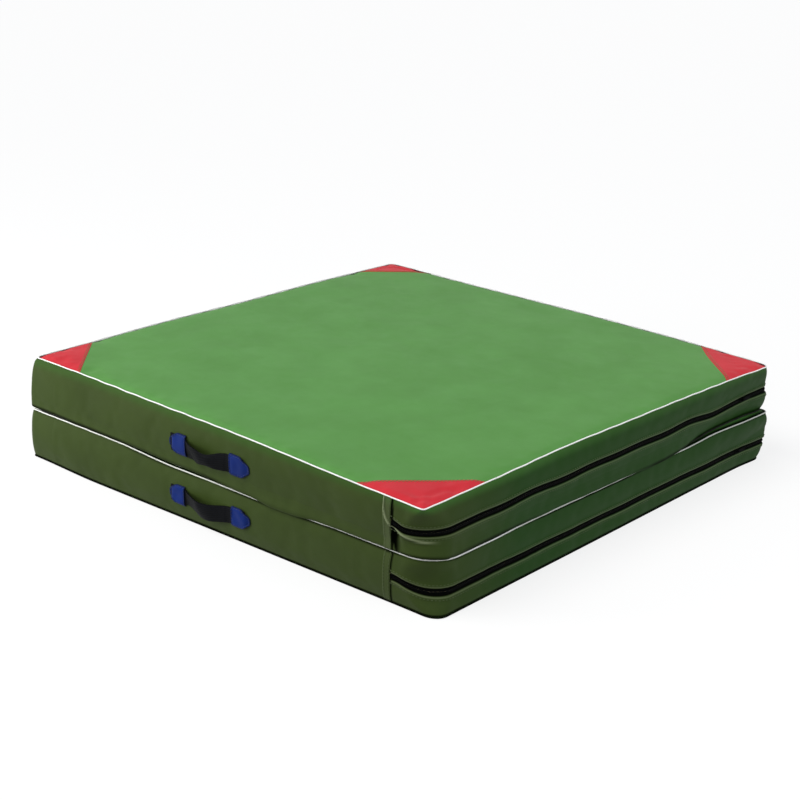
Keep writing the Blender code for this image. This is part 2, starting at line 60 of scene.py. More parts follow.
cover = {
    "half": 0.5,  # half the length and half the width of a panel
    "fabric": 0.0012,
    "gap": 0.0003,  # between pieces that touch
    "pipingRadius": 0.0012,
    "pipingProud": 0.0014,
    "sideSwell": 0.0029,  # how far a padded side swells out of its seams
    "cornerZone": 0.080,  # from a corner to the upright seam beside the zip
    "sheetInset": 0.0013,  # from the gusset's seam in to the edge of a sheet
}

# Shape that the stack has settled into: the front side leans, by height, but its seam stays plumb
lean = {
    "seam": (0.0027, 0.115, 0.08),  # along X at the fold, and for each metre above and below it
    "heights": (0.0, 0.097, 0.200),
    "slopes": (0.046, 0.029, -0.0130),  # dy for each metre towards the zip end
    "offsets": (0.0010, -0.0007, 0.0025),
    "from": -0.10,  # no lean behind this line
    "drift": 0.0009,  # long soft waves of the seams
    "seamAt": (0.42, 0.06),  # X of the upright seam beside the zip, and how wide it holds
}
foldHeight = 0.1

# Moves of the settled stack: how far in metres, the ranges along an axis over which each one comes
# in, and its bells along an axis, by centre and width
zipEnd = ((0.35, 0.49),)
upperEdge = ((0.15, 0.2),)
settling = {
    # the foot of the front by the hinge is drawn in
    "foot": {"by": 0.007, "x": ((-0.30, -0.50),), "z": ((0.06, 0.0),)},
    # the zip end's foot spreads
    "spread": {"by": 1.0, "x": ((0.43, 0.495),), "z": ((0.036, 0.0),)},
    # the zip end bellies out at the top of its back half, and at the fold
    "topBack": {"by": 0.0060, "x": zipEnd, "y": ((0.1, 0.4),), "z": upperEdge},
    "topMiddle": {"by": -0.004, "x": zipEnd, "yBell": (-0.14, 0.15), "z": upperEdge},
    "topFront": {"by": -0.0025, "x": zipEnd, "y": ((-0.25, -0.45),), "z": upperEdge},
    "foldFront": {"by": 0.003, "x": zipEnd, "y": ((-0.25, -0.35),), "zBell": (foldHeight, 0.02)},
    "shelf": {"by": 0.011, "x": zipEnd, "y": ((0.20, 0.46),), "z": ((0.045, 0.09),)},
    "farCorner": {"by": 0.0045, "x": zipEnd, "y": ((0.40, 0.49),), "z": ((0.15, 0.13),)},
    # at the hinge end the front of the upper panel rolls out right under its top seam
    "roll": {"by": 0.010, "x": ((-0.30, -0.46),), "z": ((0.1995, 0.188),)},
    # the fold sags along the middle of the front and most of the zip end
    "sagFront": {
        "by": 0.0060, "x": ((-0.25, -0.08), (0.33, 0.15)), "y": ((-0.40, -0.48),),
        "zBell": (foldHeight, 0.026),
    },
    "sagZip": {
        "by": 0.0068, "x": ((0.40, 0.48),), "y": ((-0.49, -0.43), (0.34, 0.22)),
        "zBell": (foldHeight, 0.026),
    },
    # the top is a little high at the hinge and low at the far corner of the zip end
    "hingeRise": {"by": 0.002, "x": ((-0.30, -0.50),), "z": upperEdge},
    "cornerDrop": {"by": 0.0035, "x": ((0.25, 0.5),), "y": ((0.36, 0.5),), "z": upperEdge},
}
spreadBy = (0.0065, -0.0125)  # in the middle of the zip end, and for each metre towards the back
rollRise = (0.11, 0.08)  # the roll grows from this height, over this much

panels = [
    SimpleNamespace(
        name="lower", body="lower_panel", bottom=0.0, top=0.09985, crown=0.0, topProud=-0.0003,
        tuck=0.0, outerIsTop=False,
        # corner radii at the bottom, half-way up and at the top, for the outline's four sides
        corners=((0.024, 0.060, 0.045), (0.024, 0.006, 0.013), (0.014,) * 3, (0.008, 0.019, 0.014)),
    ),
    SimpleNamespace(
        name="upper", body="upper_panel", bottom=0.10015, top=0.2, crown=0.006, topProud=0.0014,
        tuck=0.005, outerIsTop=True,
        corners=((0.045, 0.060, 0.006), (0.015, 0.016, 0.020), (0.014,) * 3, (0.012,) * 3),
    ),
]


def smooth(low, high, value):
    share = np.clip((value - low) / (high - low), 0, 1)
    return share * share * (3 - 2 * share)


def bell(value, width):
    return np.exp(-((value / width) ** 2))


def faded(move, x, y, z):
    total = move["by"]
    for axis, value in (("x", x), ("y", y), ("z", z)):
        for low, high in move.get(axis, ()):
            total = total * smooth(low, high, value)
        if f"{axis}Bell" in move:
            centre, width = move[f"{axis}Bell"]
            total = total * bell(value - centre, width)
    return total


def sumOfBells(table, value):
    return sum(size * bell(value - centre, width) for size, centre, width in table)


def ripple(seed, wavelength, *axes):
    # Soft random waves between about -1 and 1, the same on every run.
    rng = np.random.default_rng(seed)
    total = 0
    for _ in range(7):
        way = rng.normal(size=len(axes))
        way /= np.linalg.norm(way)
        stretch = rng.uniform(0.7, 1.5)
        phase = rng.uniform(0, 2 * math.pi)
        along = sum(part * axis for part, axis in zip(way, axes))
        total = total + np.sin(2 * math.pi * stretch * along / wavelength + phase)
    return total / 3.2


signs = {"front": -1, "back": 1, "hinge": -1, "zip": 1}

# The outline of a panel is one number: side 0 is the front, 1 the zip end, 2 the back and 3 the
# hinge end. The first 0.8 of each side is straight and the rest goes round the corner.

straightShare = 0.8
cornerShare = 0.2
reach = cover["half"] - cover["cornerZone"]
cornerLength = 0.134  # nominal, along the outline round a corner


def sideOf(around):
    return np.floor(around).astype(int) % 4


def sideShare(distance):
    # The number's change over a distance along a straight run.
    return distance / (2 * reach) * straightShare


def outline(around, inset, radius):
    half = cover["half"]
    side = sideOf(around)
    radius = np.maximum(radius, 0.001)
    share = around - np.floor(around)
    run = cover["cornerZone"] - inset - radius
    arc = math.pi / 2 * radius
    travelled = (share - straightShare) / (1 - straightShare) * (2 * run + arc)
    angle = np.clip((travelled - run) / radius, 0, math.pi / 2)
    alongTurn = np.where(
        travelled < run, reach + travelled, half - inset - radius * (1 - np.sin(angle))
    )
    outTurn = half - inset - radius * (1 - np.cos(angle)) - np.maximum(travelled - run - arc, 0)
    straight = share < straightShare
    along = np.where(straight, reach * (2 * share / straightShare - 1), alongTurn)
    out = np.where(straight, half - inset, outTurn)
    x = np.choose(side, [along, out, -along, -out])
    y = np.choose(side, [-out, along, out, -along])
    return x, y


def tuckShare(x):
    # The tuck starts at the hinge end, where the strip holds the cover, and is whole a third along.
    return smooth(0, 1, (x + cover["half"]) / 0.333)


def topAt(panel, x, y):
    half = cover["half"]
    return panel.top - panel.crown * ((x / half) ** 2 + (y / half) ** 2) / 2


def pipingHeight(panel, x, y, atTop):
    if atTop:
        return topAt(panel, x, y) + panel.topProud - cover["pipingRadius"]
    return panel.bottom + cover["gap"] + cover["pipingRadius"] + 0 * x


def tuckIn(panel, share):
    # How far the upper panel's cover draws in over the fold, fading up its side.
    return panel.tuck * (1 - share) ** 6


def plainSide(panel, around, share, out):
    # The (x, y) of a panel's side, at a share of its height and so far out of its face.
    around, share, out = np.broadcast_arrays(
        np.asarray(around, float), np.asarray(share, float), np.asarray(out, float)
    )
    swell = cover["sideSwell"] * (1 - np.abs(2 * share - 1) ** 4)
    base = cover["sideSwell"] - swell - out
    side = sideOf(around)
    bottom, middle, top = (np.choose(side, level) for level in zip(*panel.corners))
    radius = (
        bottom * (1 - share) * (1 - 2 * share)
        + middle * 4 * share * (1 - share)
        + top * share * (2 * share - 1)
        + out
    )
    x, y = outline(around, base, radius)
    if not panel.tuck:
        return x, y
    tuck = tuckIn(panel, share)
    drawnX, drawnY = outline(around, base + tuck, radius - tuck)
    pull = tuckShare(x)
    return x + (drawnX - x) * pull, y + (drawnY - y) * pull


def sideLimits(panel, around):
    # Heights of the gusset's lower and upper edges.
    x, y = plainSide(panel, around, 1.0, 0.0)
    step = cover["pipingRadius"] + cover["gap"]
    return pipingHeight(panel, x, y, False) + step, pipingHeight(panel, x, y, True) - step


def heightAt(panel, around, share):
    low, high = sideLimits(panel, around)
    return low + (high - low) * share


def shareAt(panel, around, height):
    low, high = sideLimits(panel, around)
    return (height - low) / (high - low)


def cubicWeights(f):
    # Of the four points round a place between the middle two.
    return (
        (-(f**3) + 2 * f**2 - f) / 2,
        (3 * f**3 - 5 * f**2 + 2) / 2,
        (-3 * f**3 + 4 * f**2 + f) / 2,
        (f**3 - f**2) / 2,
    )


def sampleGrid(grid, row, column, wrap):
    # A smooth value between the points of a grid.
    rows, columns = grid.shape[:2]
    row, column = np.broadcast_arrays(row, column)
    firstRow = np.clip(np.floor(row).astype(int), 0, rows - 2)
    firstColumn = np.floor(column).astype(int)
    if not wrap:
        firstColumn = np.clip(firstColumn, 0, columns - 2)
    total = 0
    for i, rowWeight in enumerate(cubicWeights(row - firstRow)):
        r = np.clip(firstRow + i - 1, 0, rows - 1)
        for j, columnWeight in enumerate(cubicWeights(column - firstColumn)):
            c = firstColumn + j - 1
            c = c % columns if wrap else np.clip(c, 0, columns - 1)
            total = total + (rowWeight * columnWeight)[..., None] * grid[r, c]
    return total


def settle(points):
    # Moves points into the leaning, slightly wavy shape of the folded mat.
    points = np.array(points, float)
    x, y, z = points[..., 0], points[..., 1], points[..., 2]
    low, middle, high = lean["heights"]
    weights = (
        (z - middle) * (z - high) / ((low - middle) * (low - high)),
        (z - low) * (z - high) / ((middle - low) * (middle - high)),
        (z - low) * (z - middle) / ((high - low) * (high - middle)),
    )
    slope = sum(w * v for w, v in zip(weights, lean["slopes"]))
    offset = sum(w * v for w, v in zip(weights, lean["offsets"]))
    part = {name: faded(move, x, y, z) for name, move in settling.items()}
    fade = smooth(lean["from"], -cover["half"], y)
    wave = lean["drift"]
    belly = part["topBack"] + part["topMiddle"] + part["topFront"] + part["foldFront"]
    belly = belly + np.maximum(part["shelf"] * (z < foldHeight), part["farCorner"])
    spread = part["spread"] * (spreadBy[0] + spreadBy[1] * y)
    atSeam, above, below = lean["seam"]
    fromFold = z - foldHeight
    shift = atSeam + above * np.maximum(fromFold, 0) + below * np.minimum(fromFold, 0)
    centre, width = lean["seamAt"]
    roll = part["roll"] * np.clip((z - rollRise[0]) / rollRise[1], 0, 1)
    moved = np.empty_like(points)
    moved[..., 0] = x + wave * 0.2 * ripple(3, 0.55, y, z) * smooth(0.2, 0.5, np.abs(x))
    moved[..., 0] += shift * bell(x - centre, width) * fade + belly + spread
    moved[..., 1] = y + (offset + slope * x + part["foot"]) * fade
    moved[..., 1] += (wave * ripple(5, 0.5, x, z) - roll) * fade
    moved[..., 2] = z + wave * 0.8 * ripple(8, 0.45, x, y) * smooth(0.02, 0.09, z)
    moved[..., 2] += part["hingeRise"] - part["cornerDrop"]
    moved[..., 2] -= np.maximum(part["sagFront"], part["sagZip"])
    return moved


def aroundValues(start, end, step, cornerStep):
    # Columns between two places of the outline, finer round the corners.
    found = []
    straightCount = round(2 * reach / step)
    cornerCount = round(cornerLength / cornerStep)
    for side in range(math.floor(start), math.ceil(end)):
        found += list(side + straightShare * np.arange(straightCount) / straightCount)
        found += list(side + straightShare + cornerShare * np.arange(cornerCount) / cornerCount)
    found = np.array(found)
    inside = found[(found > start + 1e-4) & (found < end - 1e-4)]
    return np.concatenate([[start], inside, [end]])


# Padding: the cover blown out by its filling with cloth simulation, as a field of moves

padding = {
    "spacing": 0.013,
    "pressure": 4.0,
    "slack": -0.012,  # negative: fabric is cut this much larger than its seams
    "frames": 20,
    "sideCap": 0.0030,
    "topCap": 0.0040,
    "evened": 0.7,  # share of a side's bulge that has its small wrinkles ironed out
    "held": 0.85,  # share of the bulge that the zip and the hinge strip hold back
    "zipHold": 0.016,  # how far above and below the zip
}
paddingCloth = {
    "quality": 6,
    "mass": 0.2,
    "tension_stiffness": 25,
    "compression_stiffness": 25,
    "shear_stiffness": 10,
    "bending_stiffness": 0.6,
    "shrink_min": padding["slack"],
    "use_pressure": True,
    "uniform_pressure_force": padding["pressure"],
    "vertex_group_mass": "seams",
}


def addObject(name, data):
    obj = bpy.data.objects.new(name, data)
    bpy.context.scene.collection.objects.link(obj)
    return obj


def gridFaces(rows, columns, start=0, wrap=False, ring=False):
    index = start + np.arange(rows * columns).reshape(rows, columns)
    if ring:
        index = np.concatenate([index, index[:1]], axis=0)
    if wrap:
        index = np.concatenate([index, index[:, :1]], axis=1)
    a, b, c, d = index[:-1, :-1], index[:-1, 1:], index[1:, 1:], index[1:, :-1]
    return np.stack((a, b, c, d), axis=-1).reshape(-1, 4)


def sheetSquare(panel, atTop, a, b):
    # A sheet's (x, y) from square coordinates of -1 to 1, with its corners rounded.
    share = 1.0 if atTop else 0.0
    inset = cover["sideSwell"] + cover["sheetInset"]
    tuck = 0 if atTop else panel.tuck * tuckShare(a * cover["half"])
    half = cover["half"] - inset - tuck
    level = [corner[2 if atTop else 0] for corner in panel.corners]
    corner = np.where(a > 0, np.where(b > 0, 1, 0), np.where(b > 0, 2, 3))
    radius = np.maximum(np.choose(corner, level) - cover["sheetInset"], 0.001)
    x, y = a * half, b * half
    p = np.maximum(np.abs(x) - (half - radius), 0)
    q = np.maximum(np.abs(y) - (half - radius), 0)
    far = np.maximum(p, q)
    angle = math.pi / 4 * np.minimum(p, q) / np.maximum(far, 1e-9)
    near = (p > 0) & (q > 0)
    turned = np.where(p >= q, angle, math.pi / 2 - angle)
    newX = np.sign(x) * (half - radius + far * np.cos(turned))
    newY = np.sign(y) * (half - radius + far * np.sin(turned))
    return np.where(near, newX, x), np.where(near, newY, y)


bandColumns = aroundValues(0, 4, padding["spacing"], padding["spacing"])[:-1]
bandShares = np.linspace(0, 1, 9)
sheetSteps = np.linspace(-1, 1, 73)


def bandPoints(panel):
    around, share = np.meshgrid(bandColumns, bandShares)
    x, y = plainSide(panel, around, share, 0.0)
    return np.stack((x, y, heightAt(panel, around, share)), axis=-1)


def crownPoints(panel):
    a, b = np.meshgrid(sheetSteps, sheetSteps)
    x, y = sheetSquare(panel, True, a, b)
    return np.stack((x, y, topAt(panel, x, y)), axis=-1)


def evened(field, passes):
    # Irons the small wrinkles out of a field that closes on itself, and keeps its bulge.
    for _ in range(passes):
        field = (np.roll(field, 1, axis=1) + 2 * field + np.roll(field, -1, axis=1)) / 4
    return field


def cappedMove(moved, cap):
    length = np.linalg.norm(moved, axis=-1, keepdims=True)
    return moved * cap * np.tanh(length / cap) / np.maximum(length, 1e-9)


def inflate():
    # How far the cloth simulation moves the sides of both panels and the upper outer sheet.
    grids = [bandPoints(panels[0]), bandPoints(panels[1]), crownPoints(panels[1])]
    points, faces, pinned, start = [], [], [], 0
    for i, grid in enumerate(grids):
        rows, columns = grid.shape[:2]
        points.append(grid.reshape(-1, 3))
        faces.append(gridFaces(rows, columns, start, wrap=i < 2))
        index = start + np.arange(rows * columns).reshape(rows, columns)
        edges = [index[0], index[-1]] + ([] if i < 2 else [index[:, 0], index[:, -1]])
        pinned += np.concatenate(edges).tolist()
        start += rows * columns
    mesh = bpy.data.meshes.new("padding_guide")
    mesh.from_pydata(np.concatenate(points).tolist(), [], np.concatenate(faces).tolist())
    obj = addObject(mesh.name, mesh)
    obj.vertex_groups.new(name="seams").add(pinned, 1.0, "REPLACE")
    cloth = obj.modifiers.new("padding", "CLOTH")
    for key, value in paddingCloth.items():
        setattr(cloth.settings, key, value)
    cloth.settings.effector_weights.gravity = 0
    cloth.point_cache.frame_start = 1
    cloth.point_cache.frame_end = padding["frames"]
    for frameNumber in range(1, padding["frames"] + 1):
        bpy.context.scene.frame_set(frameNumber)
    graph = bpy.context.evaluated_depsgraph_get()
    relaxed = bpy.data.meshes.new_from_object(obj.evaluated_get(graph))
    found = np.empty(len(relaxed.vertices) * 3)
    relaxed.vertices.foreach_get("co", found)
    moved = found.reshape(-1, 3) - np.concatenate(points)
    bpy.data.objects.remove(obj, do_unlink=True)
    bpy.data.meshes.remove(relaxed)
    bpy.context.scene.frame_set(1)
    fields, start = [], 0
    for i, grid in enumerate(grids):
        count = grid.shape[0] * grid.shape[1]
        cap = padding["sideCap"] if i < 2 else padding["topCap"]
        field = cappedMove(moved[start : start + count].reshape(grid.shape), cap)
        if i < 2:
            field = (1 - padding["evened"]) * field + padding["evened"] * evened(field, 20)
        fields.append(field)
        start += count
    return fields


print("padding: cloth simulation")
fields = inflate()
for panel, field in zip(panels, fields):
    chainLow, chainHigh = (np.array(end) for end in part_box(f"{panel.name}_zip_chain"))
    strapLow, strapHigh = (np.array(end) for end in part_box(f"{panel.name}_front_handle_strap"))
    endLow, endHigh = (np.array(end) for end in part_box(f"{panel.name}_front_strap_end_zip"))
    panel.zipHeight = (chainLow[2] + chainHigh[2]) / 2
    panel.handleX = (strapLow[0] + strapHigh[0]) / 2
    panel.handleHeight = (endLow[2] + endHigh[2]) / 2
    panel.handleSpan = strapHigh[0] - strapLow[0] + 2 * cover["gap"]
    around, share = np.meshgrid(bandColumns, bandShares)
    height = heightAt(panel, around, share)
    # The stiff zip holds its face back, and the hinge end lies flat under its strip.
    zipHold = bell(height - panel.zipHeight, padding["zipHold"])
    zipHold = zipHold * smooth(0.78, 0.82, around) * smooth(2.02, 1.98, around)
    hingeHold = smooth(2.85, 3.0, around) * smooth(4.0, 3.85, around)
    panel.swell = field * (1 - padding["held"] * np.maximum(zipHold, hingeHold))[..., None]
crownField = fields[2]


def sidePoint(panel, around, share, out=0.0):
    # A place on the padded side, a share of its height up and so far out of its face.
    x, y = plainSide(panel, around, share, out)
    points = np.stack(np.broadcast_arrays(x, y, heightAt(panel, around, share)), axis=-1)
    column = np.interp(
        np.mod(around, 4), np.append(bandColumns, 4.0), np.arange(len(bandColumns) + 1)
    )
    column, row = np.broadcast_arrays(column, np.asarray(share, float) * (len(bandShares) - 1))
    return settle(points + sampleGrid(panel.swell, np.clip(row, 0, len(bandShares) - 1), column, True))


def heightPoint(panel, around, height, out=0.0):
    # As sidePoint, at a height in metres.
    return sidePoint(panel, around, np.clip(shareAt(panel, around, height), 0, 1), out)


def frontAround(x):
    # Where on the outline an x of the front side's straight run is.
    return sideShare(np.asarray(x) + reach)


def backAround(x):
    return 2 + sideShare(reach - np.asarray(x))


# Meshes

def finishMesh(name, points, faces, uvs, finish, tint=None, shade=None, sharp=50):
    # A closed mesh from points and quads, with its UV map, its pale tint and its dark shade.
    mesh = bpy.data.meshes.new(name)
    mesh.from_pydata(points.tolist(), [], faces.tolist())
    layer = mesh.uv_layers.new(name="surface")
    corners = np.empty(len(mesh.loops), np.int32)
    mesh.loops.foreach_get("vertex_index", corners)
    layer.data.foreach_set("uv", uvs[corners].astype(np.float32).reshape(-1))
    for label, values in (("tint", tint), ("shade", shade)):
        values = np.zeros(len(points)) if values is None else values
        mesh.attributes.new(label, "FLOAT", "POINT")
        mesh.attributes[label].data.foreach_set("value", values.astype(np.float32))
    bm = bmesh.new()
    bm.from_mesh(mesh)
    bmesh.ops.remove_doubles(bm, verts=bm.verts, dist=1e-6)
    bmesh.ops.recalc_face_normals(bm, faces=bm.faces)
    bm.to_mesh(mesh)
    bm.free()
    mesh.shade_smooth()
    mesh.set_sharp_from_angle(angle=math.radians(sharp))
    mesh.materials.append(finish)
    return addObject(name, mesh)


def gridNormals(points, wrap):
    if wrap:
        joined = np.concatenate([points[:, -1:], points, points[:, :1]], axis=1)
        along = np.gradient(joined, axis=1)[:, 1:-1]
    else:
        along = np.gradient(points, axis=1)
    normals = np.cross(along, np.gradient(points, axis=0))
    return normals / np.maximum(np.linalg.norm(normals, axis=-1, keepdims=True), 1e-12)


def shell(
    name, points, uvs, thickness, finish, tint=None, shade=None, wrap=False, normals=None, sharp=50
):
    # A closed skin: a grid of points on its face, and a wall of a thickness behind them.
    if normals is None:
        normals = gridNormals(points, wrap)
    rows, columns = points.shape[:2]
    count = rows * columns
    both = np.concatenate([points.reshape(-1, 3), (points - normals * thickness).reshape(-1, 3)])
    face = gridFaces(rows, columns, wrap=wrap)
    index = np.arange(count).reshape(rows, columns)
    if wrap:
        index = np.concatenate([index, index[:, :1]], axis=1)
    borders = [index[0], index[-1][::-1]]
    if not wrap:
        borders += [index[::-1, 0], index[:, -1]]
    sides = [
        np.stack((line[1:], line[:-1], line[:-1] + count, line[1:] + count), axis=-1)
        for line in borders
    ]
    faces = np.concatenate([face, face[:, ::-1] + count, *sides])
    flat = uvs.reshape(-1, 2)
    marks = [
        None if mark is None else np.tile(np.broadcast_to(mark, (rows, columns)).reshape(-1), 2)
        for mark in (tint, shade)
    ]
    return finishMesh(name, both, faces, np.concatenate([flat, flat]), finish, *marks, sharp)


def tube(name, centres, radius, sides, finish, paintedShade):
    # A round cord along a closed level loop of points, darkened in places by painted shade.
    along = np.roll(centres, -1, axis=0) - np.roll(centres, 1, axis=0)
    along /= np.linalg.norm(along, axis=1, keepdims=True)
    level = np.cross(along, (0.0, 0.0, 1.0))
    level /= np.linalg.norm(level, axis=1, keepdims=True)
    rise = np.cross(level, along)
    angles = 2 * math.pi * np.arange(sides) / sides
    ring = level[None] * np.cos(angles)[:, None, None] + rise[None] * np.sin(angles)[:, None, None]
    points = centres[None] + ring * radius
    steps = np.linalg.norm(np.roll(centres, -1, axis=0) - centres, axis=1)
    travelled = np.concatenate([[0], np.cumsum(steps)[:-1]])
    uvs = np.stack(np.broadcast_arrays(travelled[None], radius * angles[:, None]), axis=-1)
    faces = gridFaces(sides, len(centres), wrap=True, ring=True)
    shade = np.broadcast_to(paintedShade, (sides, len(centres))).reshape(-1)
    return finishMesh(name, points.reshape(-1, 3), faces, uvs.reshape(-1, 2), finish, None, shade)


def settlePiece(obj, body, slot, *nodes):
    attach(obj, body)
    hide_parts(*nodes)
    return obj


# Materials

def toLinear(code):
    found = []
    for i in (0, 2, 4):
        value = int(code[i : i + 2], 16) / 255
        found.append(value / 12.92 if value <= 0.04045 else ((value + 0.055) / 1.055) ** 2.4)
    return (*found, 1.0)


def addNode(tree, kind, inputs=None, **settings):
    node = tree.nodes.new(kind)
    for key, value in settings.items():
        setattr(node, key, value)
    for key, value in (inputs or {}).items():
        if isinstance(value, bpy.types.NodeSocket):
            tree.links.new(value, node.inputs[key])
        else:
            node.inputs[key].default_value = value
    return node


def mapped(tree, value, low=0.0, high=1.0, toLow=0.0, toHigh=1.0, **settings):
    inputs = {"Value": value, "From Min": low, "From Max": high, "To Min": toLow, "To Max": toHigh}
    return addNode(tree, "ShaderNodeMapRange", inputs, **settings).outputs[0]


def mixed(tree, share, first, second):
    inputs = {"Factor": share, 6: first, 7: second}
    return addNode(tree, "ShaderNodeMix", inputs, data_type="RGBA").outputs[2]


def combined(tree, operation, first, second):
    return addNode(tree, "ShaderNodeMath", {0: first, 1: second}, operation=operation).outputs[0]


def noise(tree, place, scale, detail, roughness=0.5, distortion=0.0):
    inputs = {"Vector": place, "Scale": scale, "Detail": detail, "Roughness": roughness}
    inputs["Distortion"] = distortion
    return addNode(tree, "ShaderNodeTexNoise", inputs).outputs["Fac"]


bandSpacing = 0.31416  # metres between the bands of a wave texture at scale 1


def bands(tree, place, spacing, direction, distortion, detail=2.0):
    inputs = {"Vector": place, "Scale": bandSpacing / spacing}
    inputs |= {"Distortion": distortion, "Detail": detail}
    return addNode(tree, "ShaderNodeTexWave", inputs, bands_direction=direction).outputs["Fac"]


def bumped(tree, height, strength, distance, under=None):
    inputs = {"Height": height, "Strength": strength, "Distance": distance}
    if under is not None:
        inputs["Normal"] = under
    return addNode(tree, "ShaderNodeBump", inputs).outputs[0]


def marked(tree, name):
    return addNode(tree, "ShaderNodeAttribute", attribute_name=name).outputs["Fac"]


def newMaterial(name, **shader):
    made = bpy.data.materials.new(name)
    made.use_nodes = True
    principled = made.node_tree.nodes["Principled BSDF"]
    for key, value in shader.items():
        principled.inputs[key].default_value = value
    return made, made.node_tree, principled


# Where the zip end's painted shade comes in along X and Y, and where the painted light by the top seam
# comes in by height and fades along Y: from, to, and the values there
rolls = {
    "far": (0.43, 0.49),
    "turn": (-0.49, -0.26),
    "rise": (0.175, 0.196, 0.0, 0.85),
    "fading": (-0.25, 0.0, 1.0, 0.6),
}


def coatedFabric(name, dark, plain, pale, far=None, high=None, **shader):
    # Tarpaulin: a woven scrim that shows faintly through a soft coat, rubbed pale at folded hems. "far" is
    # the darker, greener colour of the zip end, painted shade of that face, and "high" the two colours by
    # the top seam, painted light as of light coming through from the green sheet.
    made, tree, principled = newMaterial(name, **shader)
    place = addNode(tree, "ShaderNodeTexCoord").outputs
    cloud = noise(tree, place["Object"], 9.0, 4.0, 0.6)
    ramp = addNode(tree, "ShaderNodeValToRGB", {"Fac": cloud})
    for element, position, code in zip(ramp.color_ramp.elements, (0.30, 0.70), (dark, plain)):
        element.position = position
        element.color = toLinear(code)
    ground = ramp.outputs["Color"]
    # Painted shade on the zip end, and painted light below the top seam.
    if far:
        along = addNode(tree, "ShaderNodeSeparateXYZ", {"Vector": place["Object"]}).outputs
        cut = mapped(tree, along["X"], *rolls["far"])
        turn = mapped(tree, along["Y"], *rolls["turn"])
        ground = mixed(tree, combined(tree, "MULTIPLY", cut, turn), ground, toLinear(far))
        rise = mapped(tree, along["Z"], *rolls["rise"], interpolation_type="SMOOTHERSTEP")
        fading = mapped(tree, along["Y"], *rolls["fading"])
        glow = mixed(tree, cut, toLinear(high[0]), toLinear(high[1]))
        ground = mixed(tree, combined(tree, "MULTIPLY", rise, fading), ground, glow)
    # The tint mixes in the pale colour: wear on hems and edges, painted highlights on the tuck's fold and
    # the zip lips, and on the blue patches painted shade at the rim.
    rubbed = mixed(tree, marked(tree, "tint"), ground, toLinear(pale))
    # The shade attribute mixes in near black: painted shade and shadow in folds, gaps and pockets, and at
    # the floor.
    shade = marked(tree, "shade")
    shaded = mixed(tree, shade, rubbed, toLinear("030402"))
    tree.links.new(shaded, principled.inputs["Base Color"])
    # The shine fades out where painted shade darkens the colour.
    gloss = mapped(tree, shade, toLow=shader["Specular IOR Level"], toHigh=0.0)
    tree.links.new(gloss, principled.inputs["Specular IOR Level"])
    # Scrim threads 1.3 mm apart, drawn 2.6 mm apart so that they show.
    threads = [bands(tree, place["UV"], 0.0026, direction, 0.4) for direction in ("X", "Y")]
    weave = combined(tree, "MAXIMUM", *threads)
    grain = noise(tree, place["Object"], 420.0, 3.0)
    crease = noise(tree, place["Object"], 24.0, 5.0, distortion=0.8)
    fine = bumped(tree, weave, 0.25, 0.00015)
    skin = bumped(tree, grain, 0.3, 0.0003, fine)
    tree.links.new(bumped(tree, crease, 0.16, 0.002, skin), principled.inputs["Normal"])
    rough = shader["Roughness"]
    polish = mapped(tree, crease, toLow=rough - 0.06, toHigh=rough + 0.08)
    tree.links.new(polish, principled.inputs["Roughness"])
    return made


def wovenTape(name, dark, plain, ribs, **shader):
    # Narrow woven goods: ribs across the tape, matt, with a faint sheen from the threads.
    made, tree, principled = newMaterial(name, **shader)
    place = addNode(tree, "ShaderNodeTexCoord").outputs["UV"]
    along = bands(tree, place, ribs, "X", 0.6, 1.0)
    across = bands(tree, place, ribs * 1.6, "Y", 0.3)
    threads = combined(tree, "MULTIPLY", along, across)
    colour = mixed(tree, threads, toLinear(dark), toLinear(plain))
    tree.links.new(colour, principled.inputs["Base Color"])
    tree.links.new(bumped(tree, threads, 0.7, 0.0005), principled.inputs["Normal"])
    return made


def mouldedSurface(name, dark, plain, size, depth, shadeColour=None, **shader):
    # Extruded, cast or spun goods: faint mottling of one size, and a matching bump. A shade colour, where
    # given, is mixed in by the shade attribute as painted shade.
    made, tree, principled = newMaterial(name, **shader)
    place = addNode(tree, "ShaderNodeTexCoord").outputs["Object"]
    cloud = noise(tree, place, 1 / size, 4.0, 0.6)
    colour = mixed(tree, cloud, toLinear(dark), toLinear(plain))
    if shadeColour:
        colour = mixed(tree, marked(tree, "shade"), colour, toLinear(shadeColour))
    tree.links.new(colour, principled.inputs["Base Color"])
    tree.links.new(bumped(tree, cloud, 0.5, depth), principled.inputs["Normal"])
    return made


def shine(roughness, specular):
    return {"Roughness": roughness, "Specular IOR Level": specular}


# Kept nearly matt: the white surroundings would wash the dark fabrics out.
tarpaulin = shine(0.52, 0.10)

